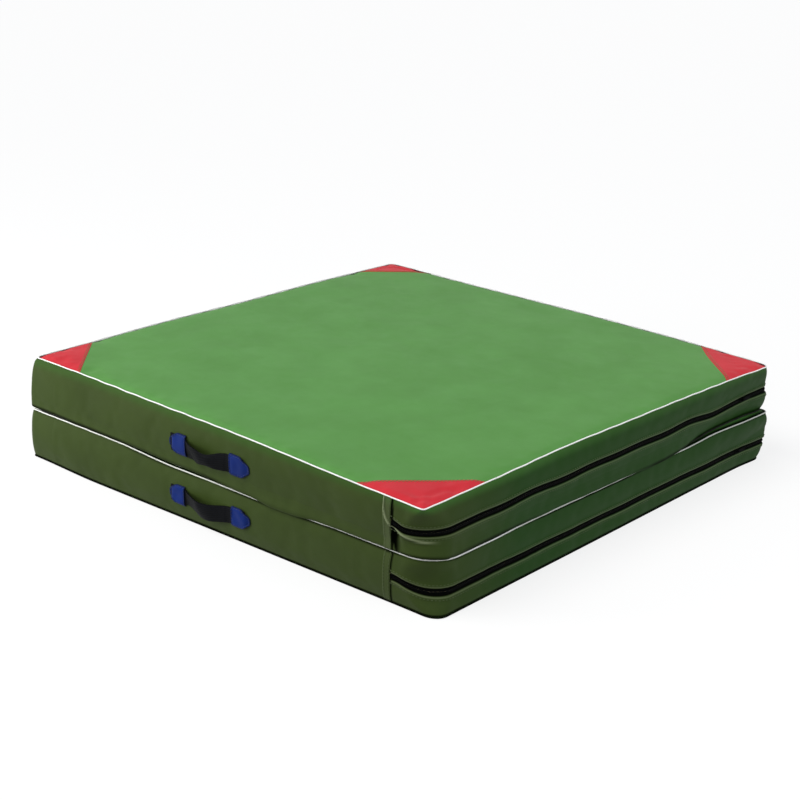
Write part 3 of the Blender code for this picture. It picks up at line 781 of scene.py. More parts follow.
materials = SimpleNamespace(
    # PVC-coated polyester, calendered: satin, slightly cloudy colour
    green=coatedFabric("light_green_pvc_tarpaulin", "4f843e", "578e47", "6f9b5e", **tarpaulin),
    # Its far and high colours are painted shade of the zip end and painted light by the top seam.
    olive=coatedFabric(
        "olive_pvc_tarpaulin", "303d19", "36441d", "818b69", far="1c3c10", high=("314e1c", "3b672a"),
        **tarpaulin,
    ),
    red=coatedFabric("red_pvc_tarpaulin", "bd2831", "c8313a", "c02c35", **tarpaulin),
    # The blue's pale colour is darker: painted shade at the patch rims.
    blue=coatedFabric("blue_pvc_tarpaulin", "0e215b", "132a6d", "081333", **tarpaulin),
    # plasticised PVC extruded over a cord: smooth and milky, darkened in the fold by painted shade
    piping=mouldedSurface(
        "cream_extruded_vinyl_piping", "f2f4ea", "fcfdf8", 0.02, 0.0002, shadeColour="0a0b07",
        **shine(0.45, 0.2),
        **{"Subsurface Weight": 1.0, "Subsurface Radius": (1.0, 1.0, 1.0), "Subsurface Scale": 0.003},
    ),
    # the same piping painted black for its shadow at the floor: dull
    shadowPiping=mouldedSurface(
        "soiled_extruded_vinyl_piping", "050604", "0e0f0a", 0.02, 0.0002,
        **shine(0.9, 0.02),
    ),
    # spun polypropylene, plain woven: black with a cold sheen
    webbing=wovenTape(
        "black_woven_polypropylene_webbing", "040506", "0d0f16", 0.0022,
        **shine(0.62, 0.08),
    ),
    tape=wovenTape("black_woven_polyester_zip_tape", "020302", "050704", 0.0015, **shine(0.8, 0.03)),
    # nylon monofilament wound into a coil: small bright glints
    coil=mouldedSurface("black_nylon_zip_coil", "030404", "070808", 0.004, 0.0001, **shine(0.45, 0.06)),
    # die-cast zinc under black enamel
    slider=mouldedSurface(
        "black_enamelled_zinc_casting", "030303", "050606", 0.003, 0.0001,
        **shine(0.70, 0.03),
    ),
    # bonded polyester thread, lightly twisted
    greenThread=mouldedSurface("green_polyester_thread", "47663c", "5d7c4c", 0.002, 0.0002, Roughness=0.6),
    oliveThread=mouldedSurface("olive_polyester_thread", "3f4c2a", "4c5935", 0.002, 0.0002, Roughness=0.7),
    blackThread=mouldedSurface("navy_polyester_thread", "0d1330", "1b2654", 0.002, 0.0002, Roughness=0.6),
    # polyethylene foam plank, sawn from a block: dull and open
    foam=mouldedSurface("cream_polyethylene_foam", "cdbf8e", "ded2a6", 0.004, 0.0008, Roughness=0.95),
)


# Sheets on the two faces of each panel

sheets = {
    "edgeStep": 0.0035,  # grid near the seams
    "step": 0.009,
    "pucker": (0.00022, 0.045, 0.022),  # height and length of the gathers, and how far in they reach
    "waves": (0.0004, 0.16),  # height and length of the soft waves of the whole sheet
    "seamDip": (0.0008, 0.003),  # how far a sheet dips into its seam, and over what width
    "legs": {"hinge_front": 0.134, "zip_front": 0.152, "hinge_back": 0.126, "zip_back": 0.156},
    "raise": 0.0007,  # height of a corner reinforcement above the sheet
    "reinforcement": 0.0006,  # its thickness
    "bow": 0.05,  # how far its long side bows out, as a share of its leg
    "rows": (0.945, 0.975),  # its two rows of stitches, as shares of its leg
    "underside": 0.0016,  # how far the mat's lowest sheet is held off the floor
    "seamDark": 0.9,
}


def fromEdge(a, b):
    return (1 - np.maximum(np.abs(a), np.abs(b))) * cover["half"]


def sheetPoint(panel, atTop, a, b):
    x, y = sheetSquare(panel, atTop, a, b)
    if not atTop:
        low = panel.bottom + (0 if panel.outerIsTop else sheets["underside"])
        return settle(np.stack(np.broadcast_arrays(x, y, low + 0 * x), axis=-1))
    z = topAt(panel, x, y)
    points = np.stack((x, y, z), axis=-1)
    if panel.crown:
        last = len(sheetSteps) - 1
        points = points + sampleGrid(crownField, (b + 1) / 2 * last, (a + 1) / 2 * last, False)
        edge = fromEdge(a, b)
        along = np.where(np.abs(a) > np.abs(b), y, x)
        height, length, reachIn = sheets["pucker"]
        pull = height * ripple(21, length, along, 0.15 * edge) * bell(edge, reachIn)
        points[..., 2] += pull * smooth(0, 0.004, edge)
        height, length = sheets["waves"]
        points[..., 2] += height * ripple(23, length, x, y) * smooth(0.0, 0.05, edge)
        dip, width = sheets["seamDip"]
        points[..., 2] -= dip * bell(edge, width)
    return settle(points)


def sheetLines():
    half = cover["half"]
    edge = np.arange(0, 0.0285, sheets["edgeStep"]) / half
    inner = np.linspace(-1 + edge[-1], 1 - edge[-1], round(2 * half / sheets["step"]))
    return np.concatenate([-1 + edge[:-1], inner, 1 - edge[-2::-1]])


def levelNormals(points, atTop):
    normals = np.zeros_like(points)
    normals[..., 2] = 1 if atTop else -1
    return normals


def seamShade(panel, a, b):
    # Painted shadow beside the upper sheet's seam at the hinge and back edges, where it turns down the
    # most.
    edge = np.minimum(1 + a, 1 - b) * cover["half"]
    return sheets["seamDark"] * smooth(0.012, 0.006, edge) * panel.outerIsTop


def makeSheet(panel, which):
    atTop = panel.outerIsTop == (which == "outer")
    lines = sheetLines()
    a, b = np.meshgrid(lines, lines)
    points = sheetPoint(panel, atTop, a, b)
    uvs = np.stack((a, b), axis=-1) * cover["half"]
    # Painted shade: the inner sheets darken towards their edges, in the gap between the panels; the outer
    # ones take the painted seam shadow.
    piece = shell(
        f"{panel.name}_{which}_cover_sheet", points, uvs, cover["fabric"], materials.green,
        shade=seamShade(panel, a, b) if which == "outer" else 0.95 * smooth(0.012, 0.004, fromEdge(a, b)),
        normals=levelNormals(points, atTop),
    )
    settlePiece(piece, panel.body, "green_vinyl", f"{panel.name}_{which}_sheet")


def cornerPatchPoints(panel, signX, signY, leg, steps, across, lift):
    # Fan-shaped grid over one corner of the outer sheet, out to a slightly bowed long side.
    atTop = panel.outerIsTop
    inset = cover["sideSwell"] + cover["sheetInset"]
    u, v = np.meshgrid(steps, across, indexing="ij")
    span = (leg - inset) / (cover["half"] - inset)
    bowed = 0.0 if signX + signY < 0 else sheets["bow"]
    bow = 1 + bowed * np.sin(math.pi * v) * u * u
    a = signX * (1 - span * u * (1 - v) * bow)
    b = signY * (1 - span * u * v * bow)
    points = sheetPoint(panel, atTop, a, b)
    points[..., 2] += lift(u) * (1 if atTop else -1)
    return points, np.stack((a, b), axis=-1) * cover["half"], u


def makeCornerPatch(panel, end, side):
    signX, signY = signs[end], signs[side]
    leg = sheets["legs"][f"{end}_{side}"]
    steps = np.concatenate([np.linspace(0, 0.95, 40), (0.965, 0.98, 0.99, 0.996, 1.0)])
    across = np.linspace(0, 1, 41)

    def lift(u):
        return sheets["raise"] * (1 - 0.6 * smooth(0.985, 1.0, u))

    points, uvs, u = cornerPatchPoints(panel, signX, signY, leg, steps, across, lift)
    # The reinforcement gets the same painted seam shadow.
    piece = shell(
        f"{panel.name}_corner_reinforcement_{end}_{side}", points, uvs, sheets["reinforcement"],
        materials.red, normals=levelNormals(points, panel.outerIsTop), tint=0.7 * smooth(0.955, 0.995, u),
        shade=seamShade(panel, *np.moveaxis(uvs / cover["half"], -1, 0)),
    )
    settlePiece(piece, panel.body, "red_vinyl", f"{panel.name}_corner_patch_{end}_{side}")
    up = np.array((0, 0, 1.0 if panel.outerIsTop else -1.0))
    for place in sheets["rows"]:
        line = points[np.argmin(np.abs(steps - place))]
        addStitches(panel.body, "greenThread", line + up * stitchRise, np.tile(up, (len(line), 1)))


stitchRise = 0.0003  # of a stitch's middle above the fabric
stitchLines = {}


def addStitches(body, thread, points, outward):
    stitchLines.setdefault((body, thread), []).append((np.array(points), np.array(outward)))


# Gussets round the sides

gusset = {
    "step": 0.0075,
    "cornerStep": 0.0022,
    "rows": 33,
    "hem": 0.015,  # width of the folded hem on the upright seam beside the zip
    "hemRaise": 0.0012,
    "zipWindow": 0.0115,
    "lipStitch": 0.0062,  # from a lip's edge to its stitches
    "narrowing": 0.17,  # how much less the zip shows along the zip end than at the front
    "gape": (0.0034, 0.0040),  # painted shadow beside the hem: how wide, and how much more beside the tuck
    "gapeAt": (0.155, 0.030),  # height of that, and how far up and down it reaches
    "hemPress": 0.0014,  # how far a strip is pressed in under the hem
    "pucker": (0.00016, 0.042, 0.16),  # height, length, and share of the side's height it reaches
    "waves": (0.0004, 0.20),  # height and length of the soft waves of the whole side
    "rubbed": {"upper": 0.13, "lower": 0.05},  # how pale a hem is
    "lipHighlight": (0.36, 0.0026, 0.0011),  # painted highlight on a zip lip's roll: how pale, how far from its edge, width
    "hemRows": (0.0025, 0.0125),  # the two rows of stitches on a hem
}
# Across a zip lip: distance from its folded edge, and how far out the fold stands
lipFrom = np.array((0.014, 0.010, 0.0075, 0.0060, 0.0048, 0.0036, 0.0024, 0.0012, 0.0003, 0.0))
lipOut = np.array((0.0, 0.0001, 0.0004, 0.0009, 0.0012, 0.0013, 0.0012, 0.0008, 0.0, -0.0006))


def runAlong(panel, around):
    # Distance along the outline, for patterns and hems.
    whole = np.floor(around)
    share = around - whole
    straight = 2 * reach * np.minimum(share, straightShare) / straightShare
    corner = cornerLength * np.maximum(share - straightShare, 0) / (1 - straightShare)
    return whole * (2 * reach + cornerLength) + straight + corner


def sideUvs(panel, around, height):
    return np.stack((runAlong(panel, around), height), axis=-1)


def sidePucker(panel, around, share):
    # Small gathers beside the seams, and soft waves between them.
    run = runAlong(panel, np.mod(around, 4))
    seed = 31 if panel.outerIsTop else 37
    height, length, width = gusset["pucker"]
    nearSeam = bell(share, width) + bell(1 - share, width)
    out = height * ripple(seed, length, run, 0.02 * share) * nearSeam
    height, length = gusset["waves"]
    out = out + height * ripple(seed + 1, length, run, 0.1 * share)
    return out * smooth(0, 0.04, share) * smooth(0, 0.04, 1 - share)


def pastSeam(around):
    # Distance past the front upright seam, on the front side and the start of the zip end.
    turn = np.mod(around, 4)
    straight = 2 * reach * (turn / straightShare - 1)
    corner = (turn - straightShare) / cornerShare * cornerLength
    return np.where(turn > 1.3, -1.0, np.where(turn > straightShare, corner, straight))


# Height of the tuck past the upright seam, where it runs on down under the zip
creasePlaces = (
    (0.0, 0.1460), (0.0064, 0.1452), (0.012, 0.1410), (0.019, 0.1372), (0.030, 0.1335), (0.047, 0.1300),
    (0.065, 0.1272), (0.09, 0.1255),
)


# Of the tuck: ranges past the upright seam over which its parts come and go, sizes in metres
crease = {
    "comes": (-0.0190, -0.0150),
    "goes": (0.085, 0.050),
    "fold": (0.0018, 0.0022),  # how far out it stands, and its width
    "pocket": (-0.0045, -0.0085, 0.0070),  # how far in, how far below the fold, and its width
    "pocketComes": (-0.002, 0.001),
    "pocketGoes": (0.024, 0.008),
    "highlightWidth": 0.0019,
    "highlightComes": (-0.0190, -0.0170),
    "highlightGoes": (0.095, 0.055),
    "darkBelow": (-0.0008, -0.0022),
    "darkAbove": (-0.036, -0.028),
    "darkGoes": (0.021, 0.008),
    "faint": (0.35, -0.0035, 0.0025),
    "faintComes": (0.0, 0.01),
    "faintGoes": (0.08, 0.04),
}


def creaseLine(past):
    # It drops steeply beside the seam.
    steep = 0.1290 + 0.00036 / np.maximum(past + 0.0215, 0.0050)
    return np.where(past > 0, np.interp(past, *zip(*creasePlaces)), steep)


def creaseGap(past, height):
    # Distance square to that line, positive above it.
    slope = (creaseLine(past + 0.0005) - creaseLine(past - 0.0005)) / 0.001
    return (height - creaseLine(past)) / np.sqrt(1 + slope**2)


def creaseOut(panel, around, height):
    # The tuck of the upper panel where the zip starts: a thin fold with a pocket under it.
    if not panel.outerIsTop:
        return 0 * around
    past = pastSeam(around)
    above = creaseGap(past, height)
    out, width = crease["fold"]
    pocket = sumOfBells([crease["pocket"]], above)
    pocket = pocket * smooth(*crease["pocketGoes"], past) * smooth(*crease["pocketComes"], past)
    strength = smooth(*crease["comes"], past) * smooth(*crease["goes"], past)
    return (out * bell(above, width) + pocket) * strength


def creaseShade(panel, around, height, darkFrom=-0.0002):
    # Painted highlight along the fold's edge, and painted shade in the pocket under it, which starts so
    # far past the seam.
    if not panel.outerIsTop:
        return 0 * around, 0 * around
    past = pastSeam(around)
    above = creaseGap(past, height)
    inFront = past > -0.5
    pale = bell(above, crease["highlightWidth"])
    pale = pale * smooth(*crease["highlightComes"], past) * smooth(*crease["highlightGoes"], past)
    dark = smooth(*crease["darkBelow"], above) * smooth(*crease["darkAbove"], above)
    dark = dark * smooth(darkFrom - 0.0005, darkFrom, past) * smooth(*crease["darkGoes"], past)
    faint = sumOfBells([crease["faint"]], above)
    faint = faint * smooth(*crease["faintComes"], past) * smooth(*crease["faintGoes"], past)
    return np.minimum(1.2 * pale, 1) * inFront, np.maximum(dark, faint) * inFront


# The upper panel's cover bags down over the seam that it rests on. Across that roll, by share of
# the side's height: how far the fabric drops, and how far out it stands.
bagging = {
    "share": (0.0, 0.010, 0.020, 0.035, 0.055, 0.085, 0.13, 0.20),
    "drop": (0.0014, 0.0040, 0.0064, 0.0080, 0.0076, 0.0050, 0.0022, 0.0),
    "out": (-0.0020, 0.0022, 0.0030, 0.0040, 0.0044, 0.0036, 0.0018, 0.0),
}
# How far it bags at places round the outline: enough to hide the piping of the fold beside the
# front handles and on the zip end, and not at all towards the far corner, where a gap shows.
bagPlaces = (
    (0.0, 0.25), (0.05, 0.45), (0.17, 0.60), (0.24, 0.42), (0.36, 0.42), (0.42, 0.70), (0.51, 0.76),
    (0.545, 1.12), (0.605, 1.12), (0.645, 0.78), (0.87, 0.70), (0.91, 0.84), (0.94, 0.88),
    (0.97, 0.60), (1.10, 0.58), (1.14, 0.70),
    (1.20, 0.80), (1.26, 0.70), (1.31, 0.82), (1.42, 0.82), (1.47, 0.95), (1.50, 1.10), (1.54, 1.10),
    (1.59, 0.85), (1.66, 0.0), (2.0, 0.0), (2.3, 0.7), (2.8, 0.6), (3.0, 0.25), (4.0, 0.25),
)
# The painted shadow line beside that piping: 1 above it, 0 below it
shadowLinePlaces = (
    (0.0, 0.85), (0.17, 0.85), (0.22, 0.40), (0.36, 0.40), (0.41, 0.90), (0.46, 0.25), (0.80, 0.15),
    (0.84, 0.75), (0.93, 0.75), (0.98, 0.30), (1.05, 0.80), (1.15, 0.70), (1.22, 0.10), (1.44, 0.10),
    (1.52, 0.90), (2.0, 0.5), (4.0, 0.85),
)
# How much painted shade darkens the fold's piping
pipingShadePlaces = (
    (0.0, 0.12), (0.12, 0.30), (0.50, 0.30), (0.64, 0.40), (0.88, 0.15), (0.94, 0.0), (1.12, 0.0),
    (1.16, 0.30), (1.30, 0.35), (1.50, 0.30), (1.80, 0.35), (2.0, 0.30), (4.0, 0.12),
)


def placed(table, around):
    return np.interp(np.mod(around, 4), *zip(*table))


# How dark the painted shade makes the cover, and from which share of its height to which it darkens
foldDark = {
    "fold": 0.95,
    "upper": (0.085, 0.050),
    "lower": (0.048, 0.022),
    "floor": 0.9,
    "foot": (0.036, 0.016),
}


def foldShade(panel, around, share):
    # Painted shade: the cover is darkened where it tucks in beside the piping of the fold, and painted
    # contact shadow darkens it at the floor.
    above = placed(shadowLinePlaces, around)
    if panel.outerIsTop:
        return foldDark["fold"] * above * smooth(*foldDark["upper"], share)
    atFold = foldDark["fold"] * (1 - above) * smooth(*foldDark["lower"], 1 - share)
    return np.maximum(atFold, foldDark["floor"] * smooth(*foldDark["foot"], share))


def bag(panel, around, share):
    # Extra drop and out of the upper panel's cover over the fold.
    if not panel.outerIsTop:
        return 0 * share, 0 * share
    strength = placed(bagPlaces, around)
    drop = np.interp(share, bagging["share"], bagging["drop"]) * strength
    tuck = tuckIn(panel, share)
    out = np.interp(share, bagging["share"], bagging["out"]) + tuck * (share < 0.2)
    out = np.where(share < 0.2, out, tuck * smooth(0.45, 0.2, share))
    return drop, out * strength


def coverPoint(panel, around, share, out):
    # A place on the cover's side, with the upper panel's bag over the fold.
    drop, bagOut = bag(panel, around, share)
    points = sidePoint(panel, around, share, out + bagOut)
    points[..., 2] -= drop
    return points


# Where the zip leaves its level: height, place past the front upright seam and width of each bell
zipClimbs = {
    "upper": ((0.008, 0.0, 0.018), (-0.001, 0.085, 0.045), (-0.004, 0.87, 0.07)),
    "lower": ((0.0145, 0.0, 0.045), (-0.001, 0.09, 0.040)),
}


zipWave = {
    "height": 0.0013,
    "length": 0.22,
    "starts": (0.13, 0.26),  # past the front upright seam
    "parked": (0.96, 0.10),  # level here, where the slider is parked: its place and width
}


def zipLine(panel, around):
    # Height of the zip, which waves a little and climbs towards the front upright seam.
    run = runAlong(panel, around) - runAlong(panel, np.float64(straightShare))
    centre, width = zipWave["parked"]
    wave = zipWave["height"] * ripple(41 if panel.outerIsTop else 43, zipWave["length"], run)
    wave = wave * smooth(*zipWave["starts"], run) * (1 - bell(run - centre, width))
    return panel.zipHeight + wave + sumOfBells(zipClimbs[panel.name], run)


def makePlainGusset(panel):
    first, last = 2.0, 4 + straightShare  # from one upright seam to the other
    around = aroundValues(first, last, gusset["step"], gusset["cornerStep"])
    fine = sideShare(np.array((0.0003, 0.0012, *np.arange(0.0024, 0.0200, 0.0008))))
    between = around[(around > first + fine[-1]) & (around < last - fine[-1])]
    around = np.unique(np.concatenate([between, first + fine, last - fine, (first, last)]))
    close = np.array(bagging["share"][:5])
    shares = np.unique(np.concatenate([np.linspace(0, 1, gusset["rows"]), bagging["share"], 1 - close]))
    column, share = np.meshgrid(around, shares)
    fromEnd = np.minimum(column - first, last - column) / straightShare * 2 * reach
    hem = smooth(gusset["hem"] + 0.0008, gusset["hem"] - 0.0008, fromEnd)
    height = heightAt(panel, column, share)
    out = gusset["hemRaise"] * hem * smooth(-0.0012, 0.0012, fromEnd) + sidePucker(panel, column, share)
    out = out + creaseOut(panel, column, height)
    uvs = sideUvs(panel, column, height)
    # The tuck's painted highlight and painted shade, and the painted shade by the fold.
    pale, dark = creaseShade(panel, column, height)
    tint = np.maximum(gusset["rubbed"][panel.name] * hem * smooth(0, 0.001, fromEnd), pale)
    piece = shell(
        f"{panel.name}_gusset_plain", coverPoint(panel, column, share, out), uvs, cover["fabric"],
        materials.olive, tint=tint, shade=np.maximum(dark, foldShade(panel, column, share)),
    )
    settlePiece(piece, panel.body, "olive_vinyl", f"{panel.name}_plain_gusset")
    # Two rows of stitches hold each hem.
    share = np.linspace(0.06, 0.97, 60)
    for end, way in ((first, 1.0), (last, -1.0)):
        for offset in gusset["hemRows"]:
            column = np.full_like(share, end + way * sideShare(offset))
            out = creaseOut(panel, column, heightAt(panel, column, share))
            out = out + gusset["hemRaise"] + stitchRise + sidePucker(panel, column, share)
            outward = np.tile((0.0, way, 0.0), (len(share), 1))
            addStitches(panel.body, "oliveThread", coverPoint(panel, column, share, out), outward)


def outwardOf(points):
    # Horizontal direction out of a line of points round the panel.
    along = np.gradient(points, axis=0)
    out = np.cross(along, (0.0, 0.0, 1.0))
    return out / np.maximum(np.linalg.norm(out, axis=1, keepdims=True), 1e-9)


def makeZipGussets(panel):
    under = sideShare(0.010)  # runs this far under the hems
    start, end = straightShare - under, 2.0 + under
    around = aroundValues(start, end, gusset["step"], gusset["cornerStep"])
    low, high = sideLimits(panel, around)
    middle = zipLine(panel, np.clip(around, straightShare, 2.0))
    half = gusset["zipWindow"] / 2 * (1 - gusset["narrowing"] * smooth(1.02, 1.3, around))
    underHem = smooth(straightShare + 0.0003, straightShare - 0.002, around)
    underHem = underHem + smooth(2.0 - 0.0003, 2.002, around)
    for which in ("lower", "upper"):
        sign = -1 if which == "lower" else 1
        edge = middle + sign * half
        far = low if which == "lower" else high
        inner = edge + sign * lipFrom[0]
        # Closer rows where the cover rolls over the fold, and where the tuck runs
        close = (0.0, 0.03, 0.06, 0.10, 0.16, 0.25)
        steps = 41 if panel.outerIsTop and which == "lower" else 13
        spaced = sorted({*close, *np.linspace(0, 1, steps)[:-1]})
        heights = [far + (inner - far) * s for s in spaced]
        heights += [edge + sign * step for step in lipFrom]
        outs = [0.0] * len(spaced) + lipOut.tolist()
        if which == "upper":
            heights, outs = heights[::-1], outs[::-1]
        height = np.array(heights)
        column = np.broadcast_to(around, height.shape)
        share = np.clip((height - low) / (high - low), 0, 1)
        out = np.array(outs)[:, None] * (1 + 0.25 * ripple(51, 0.05, runAlong(panel, column)))
        out = out + sidePucker(panel, column, share) + creaseOut(panel, column, height)
        out = out * (1 - 0.6 * underHem) - gusset["hemPress"] * underHem
        place = coverPoint if which == "lower" else sidePoint
        points = place(panel, column, share, out)
        uvs = sideUvs(panel, column, height)
        away = np.abs(height - edge)
        pale, dark = creaseShade(panel, column, height, -0.010)
        atFold = foldShade(panel, column, share)
        past = pastSeam(column)
        level, reachUp = gusset["gapeAt"]
        gape, more = gusset["gape"]
        gape = gape + more * panel.outerIsTop * bell(height - level, reachUp)
        # Painted shadow beside the hem; below, painted shade at each lip's edge by the zip, and the lips'
        # painted highlight.
        hemShadow = 0.95 * smooth(0, -0.0018, past - gape) * (past > -0.5) * (pale < 0.3)
        piece = shell(
            f"{panel.name}_gusset_{which}_of_zip", points, uvs, cover["fabric"], materials.olive,
            tint=np.maximum(sumOfBells([gusset["lipHighlight"]], away), pale),
            shade=np.maximum.reduce([0.9 * smooth(0.0010, 0.0003, away), dark, atFold, hemShadow]),
        )
        settlePiece(piece, panel.body, "olive_vinyl", f"{panel.name}_zip_gusset_{which}")
        inside = around[(around > straightShare + 0.003) & (around < 1.997)]
        edgeHere = np.interp(inside, around, edge)
        line = heightPoint(panel, inside, edgeHere + sign * gusset["lipStitch"], 0.0012)
        addStitches(panel.body, "oliveThread", line, outwardOf(line))


piping = {
    "wobble": (0.00035, 0.07),  # height and length
    "atFold": 0.6,  # share of the wobble that the lower panel's piping has under the fold
    # where the fold hides the upper panel's piping, painted fully dark as shade: past the zip end, and
    # round the hinge corner
    "hidden": ((1.57, 1.63), (0.11, 0.06), (3.9, 3.95)),
}


def makePiping(panel):
    around = aroundValues(0, 4, 0.008, 0.0018)[:-1]
    for atTop in (False, True):
        which = "outer" if atTop == panel.outerIsTop else "inner"
        share = np.full_like(around, 1.0 if atTop else 0.0)
        x, y = plainSide(panel, around, share, cover["pipingProud"] - cover["pipingRadius"])
        centres = np.stack((x, y, pipingHeight(panel, x, y, atTop)), axis=-1)
        run = runAlong(panel, around)
        height, length = piping["wobble"]
        wobble = height * ripple(61 + atTop + 2 * panel.outerIsTop, length, run)
        if panel.outerIsTop or atTop:
            centres[:, 2] += wobble * (piping["atFold"] if atTop and not panel.outerIsTop else 1.0)
        centres = settle(centres)
        # Painted shade darkens the inner piping in the fold, fully where the fold hides it.
        paintedShade = placed(pipingShadePlaces, around) * (which == "inner")
        if which == "inner" and panel.outerIsTop:
            zipPart, frontPart, hingePart = (smooth(*ends, around) for ends in piping["hidden"])
            paintedShade = np.maximum(paintedShade, zipPart * (around < 2.02) + frontPart + hingePart)
        # The lowest piping is painted black for its contact shadow at the floor.
        lowest = not atTop and not panel.outerIsTop
        piece = tube(
            f"{panel.name}_{which}_seam_piping", centres, cover["pipingRadius"], 12,
            materials.shadowPiping if lowest else materials.piping, paintedShade,
        )
        settlePiece(piece, panel.body, "piping", f"{panel.name}_{which}_piping")


# Zip: two tapes behind the lips and a coil between them

zipper = {
    "tapeWidth": 0.014,
    "tape": 0.0006,
    "behind": 0.0017,
    "toothPitch": 0.0020,  # real coil 1.25 mm, drawn coarser so that it shows
    "toothLength": 0.0062,
    "toothWidth": 0.0012,
    "toothDepth": 0.0013,
}


def makeZip(panel):
    around = aroundValues(straightShare, 2.0, gusset["step"], 0.005)
    middle = zipLine(panel, around)
    for which, sign in (("lower", -1), ("upper", 1)):
        steps = np.array((0.0005, 0.004, 0.0075, 0.0105, 0.0130)) * sign
        if sign < 0:
            steps = steps[::-1]
        height = middle[None] + steps[:, None]
        column = np.broadcast_to(around, height.shape)
        points = heightPoint(panel, column, height, -zipper["behind"])
        uvs = sideUvs(panel, column, height)
        piece = shell(f"{panel.name}_zip_tape_woven_{which}", points, uvs, zipper["tape"], materials.tape)
        settlePiece(piece, panel.body, "zip_tape", f"{panel.name}_zip_tape_{which}")
    line = heightPoint(panel, around, middle, -0.0004)
    teeth = piecesAlong(
        f"{panel.name}_zip_coil", [(line, outwardOf(line))], materials.coil,
        {
            "Pitch": zipper["toothPitch"], "Length": zipper["toothWidth"],
            "Width": zipper["toothLength"], "Height": zipper["toothDepth"], "Slant": 0.10,
        },
    )
    settlePiece(teeth, panel.body, "zip_nylon", f"{panel.name}_zip_chain")


# One Geometry Nodes tree lays small rounded pieces along paths: zip teeth and stitches

def buildRepeatTree():
    tree = bpy.data.node_groups.new("pieces_along_path", "GeometryNodeTree")

    def socket(label, kind, way="INPUT"):
        return tree.interface.new_socket(label, in_out=way, socket_type=f"NodeSocket{kind}").identifier

    socket("Geometry", "Geometry")
    ids = {label: socket(label, "Float") for label in ("Pitch", "Length", "Width", "Height", "Slant")}
    ids["Finish"] = socket("Finish", "Material")
    socket("Geometry", "Geometry", "OUTPUT")
    start = addNode(tree, "NodeGroupInput").outputs
    path = addNode(tree, "GeometryNodeMeshToCurve", {"Mesh": start["Geometry"]})
    spaced = addNode(
        tree, "GeometryNodeResampleCurve", {"Curve": path.outputs["Curve"], "Length": start["Pitch"]},
        mode="LENGTH",
    )
    bead = addNode(tree, "GeometryNodeMeshUVSphere", {"Segments": 6, "Rings": 4, "Radius": 0.5})
    size = addNode(
        tree, "ShaderNodeCombineXYZ",
        {"X": start["Length"], "Y": start["Width"], "Z": start["Height"]},
    )
    tangent = addNode(tree, "GeometryNodeInputTangent")
    outward = addNode(
        tree, "GeometryNodeInputNamedAttribute", {"Name": "outward"}, data_type="FLOAT_VECTOR"
    )
    lengthwise = addNode(
        tree, "FunctionNodeAlignRotationToVector", {"Vector": tangent.outputs["Tangent"]}, axis="X"
    )
    upright = addNode(
        tree, "FunctionNodeAlignRotationToVector",
        {"Rotation": lengthwise.outputs["Rotation"], "Vector": outward.outputs["Attribute"]},
        axis="Z", pivot_axis="X",
    )
    # Every other piece leans the other way, as threads and coils do.
    odd = combined(tree, "MODULO", addNode(tree, "GeometryNodeInputIndex").outputs[0], 2.0)
    slant = combined(tree, "MULTIPLY", combined(tree, "SUBTRACT", odd, 0.5), start["Slant"])
    angles = addNode(tree, "ShaderNodeCombineXYZ", {"Z": slant})
    turn = addNode(tree, "FunctionNodeEulerToRotation", {"Euler": angles.outputs["Vector"]})
    turned = addNode(
        tree, "FunctionNodeRotateRotation",
        {"Rotation": upright.outputs["Rotation"], "Rotate By": turn.outputs["Rotation"]},
        rotation_space="LOCAL",
    )
    laid = addNode(
        tree, "GeometryNodeInstanceOnPoints",
        {
            "Points": spaced.outputs["Curve"], "Instance": bead.outputs["Mesh"],
            "Rotation": turned.outputs["Rotation"], "Scale": size.outputs["Vector"],
        },
    )
    real = addNode(tree, "GeometryNodeRealizeInstances", {"Geometry": laid.outputs["Instances"]})
    finished = addNode(
        tree, "GeometryNodeSetMaterial",
        {"Geometry": real.outputs["Geometry"], "Material": start["Finish"]},
    )
    addNode(tree, "NodeGroupOutput", {"Geometry": finished.outputs["Geometry"]})
    return tree, ids


repeatTree, repeatIds = buildRepeatTree()


def piecesAlong(name, lines, finish, sizes):
    # Small pieces laid along polylines by the Geometry Nodes tree, as one plain mesh.
    points, edges, outward, start = [], [], [], 0
    for line, way in lines:
        points.append(line)
        outward.append(way)
        index = start + np.arange(len(line))
        edges.append(np.stack((index[:-1], index[1:]), axis=-1))
        start += len(line)
    mesh = bpy.data.meshes.new(f"{name}_path")
    mesh.from_pydata(np.concatenate(points).tolist(), np.concatenate(edges).tolist(), [])
    mesh.attributes.new("outward", "FLOAT_VECTOR", "POINT")
    mesh.attributes["outward"].data.foreach_set(
        "vector", np.concatenate(outward).astype(np.float32).reshape(-1)
    )
    guide = addObject(mesh.name, mesh)
    rows = guide.modifiers.new("pieces", "NODES")
    rows.node_group = repeatTree
    for label, value in sizes.items():
        rows[repeatIds[label]] = value
    rows[repeatIds["Finish"]] = finish
    graph = bpy.context.evaluated_depsgraph_get()
    made = bpy.data.meshes.new_from_object(guide.evaluated_get(graph))
    bpy.data.objects.remove(guide, do_unlink=True)
    made.name = name
    made.shade_smooth()
    return addObject(name, made)


# Handles

